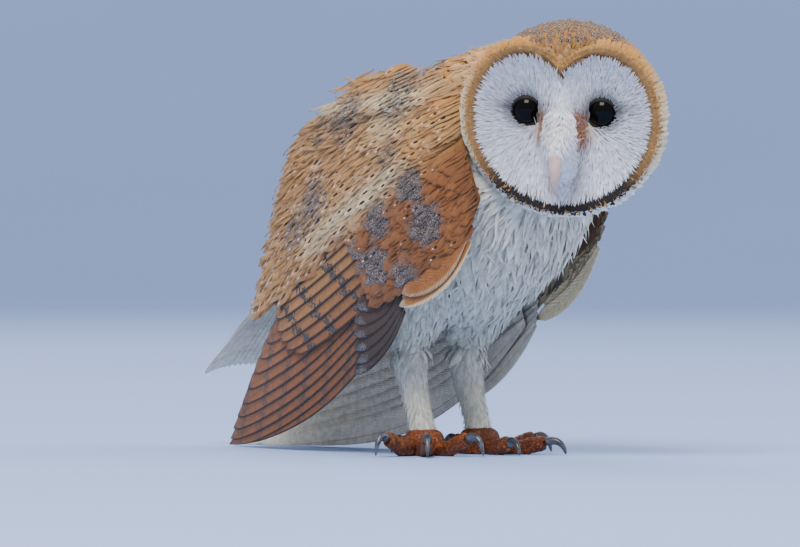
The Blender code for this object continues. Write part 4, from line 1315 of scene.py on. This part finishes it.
def dress_scapulars(side, index):
    coat = Coat()
    inside = within(((-20, 30, 52), (0, 23, 74), (30, 22, 90), (68, 24, 96), (100, 27, 95),
                     (125, 31, 84), (150, 33, 58), (166, 35, 44)))
    long = sizes().scapular / MM
    wing_tract(coat, side, 111 + index, inside, (6.4, 3.9),
               lambda along: long * (0.55 + 0.60 * step(0, 90, along)),
               lambda along: 6.2 + 1.2 * step(20, 90, along), 2.6, 5.2, "lance", (4, 8),
               slant=-0.05, drops=0.75, bend=0.6)
    wing_tract(coat, side, 113 + index, inside, (3.6, 2.5), lambda along: 16.0,
               lambda along: 1.3, 4.2, 6.1, "wisp", (1, 5), slant=-0.05, wild=0.11,
               bend=1.0)
    top = within(((24, 58, 84), (30, 62, 90), (68, 68, 100), (100, 66, 98),
                  (125, 58, 86), (160, 38, 56)))
    wing_tract(coat, side, 115 + index, top, (6.5, 4.0), lambda along: 21.0,
               lambda along: 2.2, 3.4, 7.2, "wisp", (2, 6), slant=0.06,
               wild=0.15, bend=1.6)
    return coat.build(f"shoulder_feathers_{side}", "covert_vane",
                      (f"wing_scapulars_{side}",))


def bake_column(index, count):
    """Where a flight feather's upper face lies on the OFBake map, and its size there. Each
    feather has a column of the map, with room beside it for its under face and its rim."""
    column = (1 - 2 * MAP_MARGIN) / count
    return np.array([(MAP_MARGIN + (index + 0.215) * column, 0.5)]), (0.39 / count, 0.94)


def long_feathers(coat, side, rows, shape, grid, tint, under, speckle, strength=1.0, phase=None):
    """Flight feathers from a table: root and tip (along, across), sag of the shaft, half widths
    towards the leading and trailing edges, lift of root and tip. The leading edge lies over the
    feather before it, and the trailing edge is tucked under the next."""
    thick = sizes().vane / MM
    for i, (root, tip, sag, half_lead, half_trail, low, high) in enumerate(rows):
        vane = Vane(*grid, shape, plate=True)
        root, tip = np.array(root, float), np.array(tip, float)
        chord = tip - root
        line = chord / np.linalg.norm(chord)
        side_way = np.array([-line[1], line[0]])
        at = root + chord * vane.v[:, None] + side_way * (sag * np.sin(math.pi * vane.v))[:, None]
        half = np.where(vane.u < 0, half_lead, half_trail) * vane.half
        at = at + side_way * (vane.u * half)[:, None]
        lift = (low + (high - low) * vane.v - thick * vane.under
                - TRAILING_TUCK * np.maximum(vane.u, 0)**2
                + LEADING_RISE * np.minimum(vane.u, 0)**2)
        points = wing_point(side, at[:, 0], at[:, 1], lift)[None]
        below = np.tile(under, (len(vane.v), 1)) * (0.9 + 0.1 * vane.v)[:, None]
        tints = np.where(vane.under[:, None] > 0.5, below, tint(i, vane))[None]
        marks = np.zeros((1, len(vane.v), 3))
        marks[0, :, 0] = speckle(vane)
        marks[0, :, 2] = strength * np.where(vane.under > 0.5, UNDER_BARS, 1.0)
        bars = phase(i, at)[None] if phase else np.zeros((1, len(vane.v)))
        order = crossed(vane, side)
        coat.add(vane, points[:, order], tints[:, order], marks[:, order],
                 *bake_column(i, len(rows)), bars[:, order])


PRIMARIES = tuple(
    ((61, -22.5 + 3.4 * i), tip, -13.5 + 1.25 * i, 3.6 + 0.2 * i, 9.0, 0.6 + 0.12 * i,
     0.5 + 0.14 * i)
    for i, tip in enumerate(((238, -3.8), (247, -1.2), (243, 1.4), (237, 4.2), (229, 6.9), (220, 9.6),
                             (210, 12.7), (199, 15.6), (188, 18.0), (176, 20.4))))
SECONDARIES = tuple(
    ((60, -7.5 + 5.4 * i), tip, -1.5, 4.6, 7.5, 2.8 + 0.22 * i, 2.7 + 0.2 * i)
    for i, tip in enumerate(((149, 0.5), (156, 6.0), (159, 12.0), (160, 18.0), (158, 24.0),
                             (154, 29.0), (160, 33.5))))
PRIMARY_COVERTS = tuple(
    ((50 + 1.2 * i, -13.5 - 2.4 * i), tip, -2.5, 4.2, 5.0, 3.2 - 0.1 * i, 3.6 - 0.1 * i)
    for i, tip in enumerate(((86, -7.0), (92, -12.0), (97, -17.0), (101, -22.5), (105, -27.5),
                             (110, -31.0))))
ALULA = (((2, -16.5), (50, -19.0), -4.5, 5.0, 5.0, 4.4, 5.2),
         ((0, -18.5), (56, -22.5), -5.0, 4.6, 4.2, 3.8, 4.4))


def dress_primaries(side):
    coat = Coat()
    brown = tone("brown")

    def tint(i, vane):
        # Lighter at the leading edge and darker towards the trailing edge tucked under the next
        # feather: painted shade between the stacked primaries. Paler towards the tip.
        pale = 1.02 + 0.25 * vane.v - 0.42 * step(-1.0, 0.3, vane.u)
        return brown * pale[:, None] * (0.9 + 0.035 * i)

    def phase(i, at):
        return at[:, 0] / 25.0 + 0.012 * at[:, 1] + 0.17 * i

    long_feathers(coat, side, PRIMARIES, "flight", (6, 22), tint, tone("underside"),
                  lambda vane: 0.34 * step(0.9, 1.0, vane.v), 0.6, phase)
    return coat.build(f"primaries_{side}", "flight_vane",
                      (f"wing_primaries_{side}",))


def dress_secondaries(side):
    coat = Coat()

    def tint(i, vane):
        ground = blend(tone("brown") * 1.08, tone("buff"), min(i / 5, 1) * 0.7)
        # Darker from the leading edge towards the trailing edge tucked under the next feather:
        # painted shade between the stacked secondaries. Lighter towards the tip.
        return ground * (0.92 + 0.26 * vane.v - 0.38 * step(-0.9, 0.5, vane.u))[:, None]

    def phase(i, at):
        line = at[:, 0] - 0.46 * at[:, 1]
        return np.interp(line, (59.3, 87.4, 115.5, 135.3, 156),
                         (0.5, 1.5, 2.5, 3.5, 4.4)) + 0.08 * math.sin(2.4 * i)

    long_feathers(coat, side, SECONDARIES, "flight", (6, 16), tint, tone("underside"),
                  lambda vane: 0.3 * step(0.86, 1.0, vane.v) + 0.15, 1.0, phase)
    return coat.build(f"secondaries_{side}", "flight_vane",
                      (f"wing_secondaries_{side}",))


def dress_primary_coverts(side):
    coat = Coat()

    def tint(i, vane):
        return tone("covert_brown") * (0.8 + 0.7 * vane.v * (i < 3))[:, None]

    def speckle(vane):
        return 0.85 * step(0.72, 0.88, vane.v) * step(1.1, 0.2, vane.u + 0.4)

    long_feathers(coat, side, PRIMARY_COVERTS, "covert", (6, 12), tint, tone("underside") * 0.9,
                  speckle, 0.0)
    return coat.build(f"primary_coverts_{side}", "flight_vane",
                      (f"wing_primary_coverts_{side}",))


def dress_alula(side):
    coat = Coat()

    def tint(i, vane):
        rim = step(-0.45, -0.95, vane.u) + step(0.9, 1.0, vane.v)
        return blend(np.tile(tone("deep_buff") * 1.15, (len(vane.u), 1)), tone("cream"),
                     np.clip(rim, 0, 1) * (1 if i else 0.4))

    long_feathers(coat, side, ALULA, "covert", (8, 12), tint, tone("cream"), lambda vane: 0.12,
                  0.0)
    return coat.build(f"alula_{side}", "covert_vane", (f"wing_alula_{side}",))


def dress_tail():
    """Twelve tail feathers, the middle ones on top."""
    coat = Coat()
    draw = np.random.default_rng(131)
    order = np.linspace(-1, 1, 12)
    thick = sizes().vane / MM
    for i, place in enumerate(order):
        vane = Vane(4, 14, "flight", plate=True)
        along = vane.v * (1.06 - 0.05 * abs(place))
        across = place * (0.72 + 0.1 * vane.v) + vane.u * vane.half * 0.26
        lift = 1.6 - 1.4 * abs(place) + 0.4 * vane.v - thick * vane.under
        points = tail_point(along, across, lift)[None]
        base = tone("underside") * draw.uniform(0.95, 1.0)
        tints = np.tile(base, (len(vane.v), 1)) * (0.94 + 0.06 * vane.v)[:, None]
        marks = np.zeros((1, len(vane.v), 3))
        marks[0, :, 0] = 0.3 * step(0.85, 0.98, vane.v)
        marks[0, :, 2] = 0.12
        bars = (vane.v * 4.2 + 0.1)[None]
        coat.add(vane, points, tints[None], marks, *bake_column(i, len(order)), bars)
    return coat.build("tail_feathers", "flight_vane", ("tail",))


def dress_tail_coverts():
    """Loose white feathers over the root and edges of the tail."""
    coat = Coat()
    draw = np.random.default_rng(137)
    count = 420
    vane = Vane(2, 5, "wisp")
    root_along, root_across = draw.uniform(-0.05, 0.78, count), draw.uniform(-0.8, 0.8, count)
    long, aim = draw.uniform(0.16, 0.28, count), draw.normal(0, 0.16, count)
    along = root_along[:, None] + long[:, None] * vane.v
    across = (root_across + aim * 0.2)[:, None] + aim[:, None] * vane.v**2 + vane.spread * 0.05
    top = draw.uniform(1.2, 3.0, count)[:, None]
    points = tail_point(along, across, 2.0 - 1.2 * abs(across) + top * vane.v)
    tints = np.tile(tone("underside"), (count, 1)) * draw.uniform(0.9, 1.0, (count, 1))
    roots = np.stack([root_across, root_along], axis=-1)
    coat.add(vane, points, tints, np.zeros((count, 3)), roots)
    return coat.build("tail_coverts", "soft_vane")


def wing_lining(side):
    """The flesh and down of the folded wing, under its small feathers."""
    shape = bmesh.new()
    bmesh.ops.create_grid(shape, x_segments=60, y_segments=30, size=1)
    for vert in shape.verts:
        along = -16 + 184 * (vert.co.x + 1) / 2
        low = np.interp(along, (-16, 0, 35, 62, 100, 168), (-4, -13, -12, -8, 12, 36))
        high = np.interp(along, (-16, 0, 30, 68, 100, 125, 168), (44, 70, 86, 92, 92, 82, 42))
        across = low + (high - low) * (vert.co.y + 1) / 2
        vert.co = Vector(wing_point(side, along, across, 2.2))
    mesh = bpy.data.meshes.new(f"wing_lining_{side}")
    bmesh.ops.solidify(shape, geom=shape.verts[:] + shape.edges[:] + shape.faces[:],
                       thickness=1.2 * MM)
    bmesh.ops.recalc_face_normals(shape, faces=shape.faces)
    shape.to_mesh(mesh)
    shape.free()
    mesh.shade_smooth()
    forward, _, height = owl_place(read_points(mesh))
    along, across = wing_place(forward, height)
    tint, _ = wing_colour(along, across)
    add_colour(mesh, "tint", tint * 0.6)
    return add_piece(f"wing_lining_{side}", mesh, finish_of("down"))


# ---- Eyes, bill, feet ---------------------------------------------------------------------------


def pulled(rows, around, rings, place, level, rings_of=None):
    """A ball pulled along a spine of (three coordinates, half width, half heights above, below)."""
    shape = bmesh.new()
    bmesh.ops.create_uvsphere(shape, u_segments=around, v_segments=rings, radius=1)
    reach = 0.02
    for vert in shape.verts:
        share = math.acos(max(-1.0, min(1.0, vert.co.z))) / math.pi
        turn = math.atan2(vert.co.y, vert.co.x)
        row = through_rows(rows, share)
        centre = place(row[:3])
        tangent = (place(through_rows(rows, min(share + reach, 1))[:3])
                   - place(through_rows(rows, max(share - reach, 0))[:3])).normalized()
        across = level.cross(tangent).normalized()
        upward = tangent.cross(across)
        swell = rings_of(share, turn) if rings_of else 1.0
        half = max(row[3], 0) * swell
        tall = max(row[4] if math.sin(turn) >= 0 else row[-1], 0) * swell
        vert.co = centre + (across * half * math.cos(turn) + upward * tall * math.sin(turn)) * MM
    return shape


def joined(name, shapes):
    """One mesh from closed bmesh forms, each with its faces pointing out."""
    whole = bmesh.new()
    for shape in shapes:
        if shape.calc_volume(signed=True) < 0:
            bmesh.ops.reverse_faces(shape, faces=shape.faces)
        part = bpy.data.meshes.new(name)
        shape.to_mesh(part)
        shape.free()
        whole.from_mesh(part)
        bpy.data.meshes.remove(part)
    mesh = bpy.data.meshes.new(name)
    whole.to_mesh(mesh)
    whole.free()
    mesh.shade_smooth()
    return mesh


def toe_place(side, heading, ahead, height):
    out = 1 if side == "right" else -1
    angle = math.radians(heading)
    forward = FOOT_PLACE[0] + ahead * math.cos(angle)
    return forward, out * (FOOT_PLACE[1] + ahead * math.sin(angle)), height


def toe_rows(side, heading, long, joint):
    rows = [(*toe_place(side, heading, TOE_START, joint * TOE_HEIGHTS[0]), 0, 0, 0)]
    first, last = TOE_START + 1.5, long - 1
    for i, (half, tall) in enumerate(zip(TOE_HALF, TOE_HEIGHTS, strict=True)):
        ahead = first + (last - first) * i / (len(TOE_HALF) - 1)
        rows.append((*toe_place(side, heading, ahead, joint * tall), half, half, half + TOE_PAD))
    rows.append((*toe_place(side, heading, long, joint), 0, 0, 0))
    return rows


def claw_rows(side, heading, long, joint, name):
    size = SMALL_CLAW if name in ("hind", "outer") else 1.0
    rows = []
    for ahead, tall, half in CLAW:
        thick = half * (0.85 + 0.15 * size)
        rows.append((*toe_place(side, heading, long + ahead * size, joint * tall), thick, thick,
                     thick * 1.15))
    return rows


def eye_lid(side):
    """A soft almond ring of bare skin around the eye's opening."""
    shape = bmesh.new()
    around, ring = 48, 12
    bmesh.ops.create_grid(shape, x_segments=around, y_segments=ring, size=1)
    sign = 1 if side == "left" else -1
    for vert in shape.verts:
        turn = math.pi * (vert.co.x + 1)
        roll = math.pi * (vert.co.y + 1)
        radius = 6.5 + 0.5 * math.cos(turn) ** 2 + 0.3 * max(-math.sin(turn), 0)
        tube = 0.75 + 0.35 * max(math.sin(turn), 0)
        reach = radius + tube * math.cos(roll)
        left = sign * EYE_SPACING / 2 + reach * math.cos(turn)
        up = EYE_UP + reach * math.sin(turn) * (0.97 if math.sin(turn) > 0 else 1.0)
        ball = math.sqrt(max(EYE_RADIUS**2 - radius**2, 0))
        vert.co = Vector(on_face(left, up, EYE_OUT + ball + 0.3 + tube * math.sin(roll)))
    bmesh.ops.remove_doubles(shape, verts=shape.verts, dist=1e-6)
    bmesh.ops.recalc_face_normals(shape, faces=shape.faces)
    return shape


def eye_ball(side):
    shape = bmesh.new()
    bmesh.ops.create_uvsphere(shape, u_segments=48, v_segments=32, radius=EYE_RADIUS * MM)
    left, up, out = face_axes()
    face = Matrix((left, up, out)).transposed().to_4x4()
    sign = 1 if side == "left" else -1
    centre = Vector(on_face(sign * EYE_SPACING / 2, EYE_UP, EYE_OUT))
    bmesh.ops.transform(shape, matrix=Matrix.Translation(centre) @ face, verts=shape.verts)
    return shape


# ---- Floor, camera and lights -------------------------------------------------------------------


def lay_floor():
    """A pale floor that curves up into a wall behind the owl."""
    shape = bmesh.new()
    bmesh.ops.create_grid(shape, x_segments=1, y_segments=60, size=1)
    turn = Matrix.Rotation(VIEW_AZIMUTH, 4, "Z")
    for vert in shape.verts:
        run = FLOOR_RUN[0] + (FLOOR_RUN[1] - FLOOR_RUN[0]) * (vert.co.y + 1) / 2
        bend = max(run - WALL_START, 0.0)
        angle = min(bend / WALL_CURVE, math.pi / 2)
        extra = max(bend - WALL_CURVE * math.pi / 2, 0)
        away = min(run, WALL_START) + WALL_CURVE * math.sin(angle)
        height = WALL_CURVE * (1 - math.cos(angle)) + extra
        vert.co = turn @ Vector((vert.co.x * FLOOR_HALF, away, height))
    mesh = bpy.data.meshes.new("floor")
    bmesh.ops.recalc_face_normals(shape, faces=shape.faces)
    shape.to_mesh(mesh)
    shape.free()
    mesh.shade_smooth()
    f = Finish("floor_paint", 0.9)
    cloud = f.range(f.noise(3.0), 0.3, 0.7)
    mesh.materials.append(f.colour(f.mix(cloud, tone("backdrop") * 0.98, tone("backdrop"))))
    floor = bpy.data.objects.new("floor", mesh)
    bpy.context.scene.collection.objects.link(floor)
    floor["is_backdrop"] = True


def set_camera():
    scene = bpy.context.scene
    right = Vector((math.cos(VIEW_AZIMUTH), math.sin(VIEW_AZIMUTH), 0))
    aim = right * AIM_RIGHT + Vector((SHIFT[0] * MM, SHIFT[1] * MM, AIM_HEIGHT))
    back = Vector((math.sin(VIEW_AZIMUTH) * math.cos(VIEW_ELEVATION),
                   -math.cos(VIEW_AZIMUTH) * math.cos(VIEW_ELEVATION), math.sin(VIEW_ELEVATION)))
    lens = bpy.data.cameras.new("camera")
    lens.lens, lens.sensor_width, lens.clip_end = 400, 36, 100
    camera = bpy.data.objects.new("camera", lens)
    camera.location = aim + back * VIEW_DISTANCE
    camera.rotation_euler = (-back).to_track_quat("-Z", "Y").to_euler()
    scene.collection.objects.link(camera)
    scene.camera = camera


def set_lights():
    scene = bpy.context.scene
    for name, place, size, power, tint in LIGHTS:
        lamp = bpy.data.lights.new(name, "AREA")
        lamp.size, lamp.energy, lamp.color = size, power, tint
        light = bpy.data.objects.new(name, lamp)
        light.location = place
        light.rotation_euler = (Vector((0, 0, 0.1)) - Vector(place)).to_track_quat(
            "-Z", "Y").to_euler()
        scene.collection.objects.link(light)
    sky = bpy.data.worlds.new("sky")
    sky.use_nodes = True
    background = sky.node_tree.nodes["Background"]
    background.inputs["Color"].default_value = (*SKY_COLOUR, 1)
    background.inputs["Strength"].default_value = SKY_STRENGTH
    scene.world = sky


# ---- Operators ----------------------------------------------------------------------------------


class OwlMaker:
    bl_options = {"REGISTER", "UNDO"}


class OWL_OT_skin(OwlMaker, bpy.types.Operator):
    """Grow one skin over the head, neck, trunk, thighs and shanks"""
    bl_idname = "owl.skin"
    bl_label = "Skin"

    def execute(self, context):
        mesh = grow_skin()
        add_piece("owl_skin", mesh, finish_of("down"), FLESH)
        for side in SIDES:
            wing_lining(side)
        return {"FINISHED"}


class OWL_OT_body_feathers(OwlMaker, bpy.types.Operator):
    """Lay the small feathers of the breast, neck, crown, back and legs"""
    bl_idname = "owl.body_feathers"
    bl_label = "Body feathers"

    def execute(self, context):
        dress_breast()
        dress_neck()
        dress_crown()
        dress_mantle()
        for index, side in enumerate(SIDES):
            dress_legs(side, index)
        return {"FINISHED"}


class OWL_OT_face(OwlMaker, bpy.types.Operator):
    """Lay the bristles of the facial disc, its rim and the root of the bill"""
    bl_idname = "owl.face"
    bl_label = "Face"

    def execute(self, context):
        dress_disc()
        dress_rim()
        dress_bill_base()
        return {"FINISHED"}


class OWL_OT_wings(OwlMaker, bpy.types.Operator):
    """Lay the coverts, shoulder feathers and flight feathers of both wings"""
    bl_idname = "owl.wings"
    bl_label = "Wings"

    def execute(self, context):
        for index, side in enumerate(SIDES):
            dress_primaries(side)
            dress_secondaries(side)
            dress_primary_coverts(side)
            dress_alula(side)
            dress_arm(side, index)
            dress_scapulars(side, index)
        return {"FINISHED"}


class OWL_OT_tail(OwlMaker, bpy.types.Operator):
    """Lay the tail feathers"""
    bl_idname = "owl.tail"
    bl_label = "Tail"

    def execute(self, context):
        dress_tail()
        dress_tail_coverts()
        return {"FINISHED"}


class OWL_OT_eyes(OwlMaker, bpy.types.Operator):
    """Set the eyes and their lids"""
    bl_idname = "owl.eyes"
    bl_label = "Eyes"

    def execute(self, context):
        for side in SIDES:
            ball = joined(f"eyeball_{side}", [eye_ball(side)])
            add_piece(f"eyeball_{side}", ball, finish_of("eye_cornea"),
                      (f"eye_{side}",))
            lid = joined(f"eyelid_{side}", [eye_lid(side)])
            add_piece(f"eyelid_{side}", lid, finish_of("lid_skin"))
        return {"FINISHED"}


class OWL_OT_bill(OwlMaker, bpy.types.Operator):
    """Shape the hooked bill"""
    bl_idname = "owl.bill"
    bl_label = "Bill"

    def execute(self, context):
        left = face_axes()[0]
        for name, rows in (("bill_upper", BILL_UPPER), ("bill_lower", BILL_LOWER)):
            level = left.cross((face_mm(rows[-1][:3]) - face_mm(rows[0][:3])).normalized())
            slim = [(*row[:3], row[3] * BILL_SLIM, row[4]) for row in rows]
            mesh = joined(name, [pulled(slim, 28, 30, face_mm, level)])
            add_piece(f"{name}_horn", mesh, finish_of("bill_horn"), (name,))
        return {"FINISHED"}


class OWL_OT_feet(OwlMaker, bpy.types.Operator):
    """Shape the scaly feet and the claws"""
    bl_idname = "owl.feet"
    bl_label = "Feet"

    def execute(self, context):
        rise_up = Vector((0, 0, 1))
        for side in SIDES:
            sign = 1 if side == "right" else -1
            palm_rows = [(row[0], sign * row[1], *row[2:]) for row in PALM]
            forms = [pulled(palm_rows, 32, 24, mm, Vector((0, 1, 0)))]
            claws, nodes, claw_nodes = [], [f"foot_{side}"], []
            for name, (heading, long, joint) in TOES[side].items():
                plates = (long - TOE_START) / 2.3

                def scutes(share, turn, plates=plates):
                    return 1 + 0.06 * abs(math.sin(math.pi * plates * share)) ** 0.7

                rows = toe_rows(side, heading, long, joint)
                forms.append(pulled(rows, 24, 60, mm, rise_up, scutes))
                claws.append(pulled(claw_rows(side, heading, long, joint, name), 16, 28, mm,
                                    rise_up))
                nodes.append(f"toe_{name}_{side}")
                claw_nodes.append(f"claw_{name}_{side}")
            for form in forms:
                for vert in form.verts:
                    vert.co.z = max(vert.co.z, 0.0)
            add_piece(f"toes_{side}", joined(f"toes_{side}", forms),
                      finish_of("toe_skin_scales"), nodes)
            add_piece(f"claws_{side}", joined(f"claws_{side}", claws),
                      finish_of("claw_horn"), claw_nodes)
        return {"FINISHED"}


class OWL_OT_stage(OwlMaker, bpy.types.Operator):
    """Lay the floor and set the lights and the camera"""
    bl_idname = "owl.stage"
    bl_label = "Stage"

    def execute(self, context):
        lay_floor()
        set_camera()
        set_lights()
        return {"FINISHED"}


class OWL_PT_maker(bpy.types.Panel):
    """The owl's sizes, colours and pieces"""
    bl_label = "Barn Owl"
    bl_idname = "OWL_PT_maker"
    bl_space_type = "VIEW_3D"
    bl_region_type = "UI"
    bl_category = "Barn Owl"

    def draw(self, context):
        layout = self.layout
        for group in (context.scene.owl_sizes, context.scene.owl_colours):
            for name in group.__annotations__:
                layout.prop(group, name)
        for maker in MAKERS:
            layout.operator(maker.bl_idname)


MAKERS = (OWL_OT_skin, OWL_OT_body_feathers, OWL_OT_face, OWL_OT_wings, OWL_OT_tail, OWL_OT_eyes,
          OWL_OT_bill, OWL_OT_feet, OWL_OT_stage)
CLASSES = (OwlSizes, OwlColours, *MAKERS, OWL_PT_maker)


def register():
    for kind in CLASSES:
        bpy.utils.register_class(kind)
    bpy.types.Scene.owl_sizes = bpy.props.PointerProperty(type=OwlSizes)
    bpy.types.Scene.owl_colours = bpy.props.PointerProperty(type=OwlColours)


def unregister():
    del bpy.types.Scene.owl_colours
    del bpy.types.Scene.owl_sizes
    for kind in reversed(CLASSES):
        bpy.utils.unregister_class(kind)


def main():
    register()
    for maker in MAKERS:
        group, name = maker.bl_idname.split(".")
        getattr(getattr(bpy.ops, group), name)()
    boxes = {"cad": CAD_BOX, "visual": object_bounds()}
    ({key: [list(map(float, corner)) for corner in box]
               for key, box in boxes.items()})


if __name__ == "__main__":
    main()
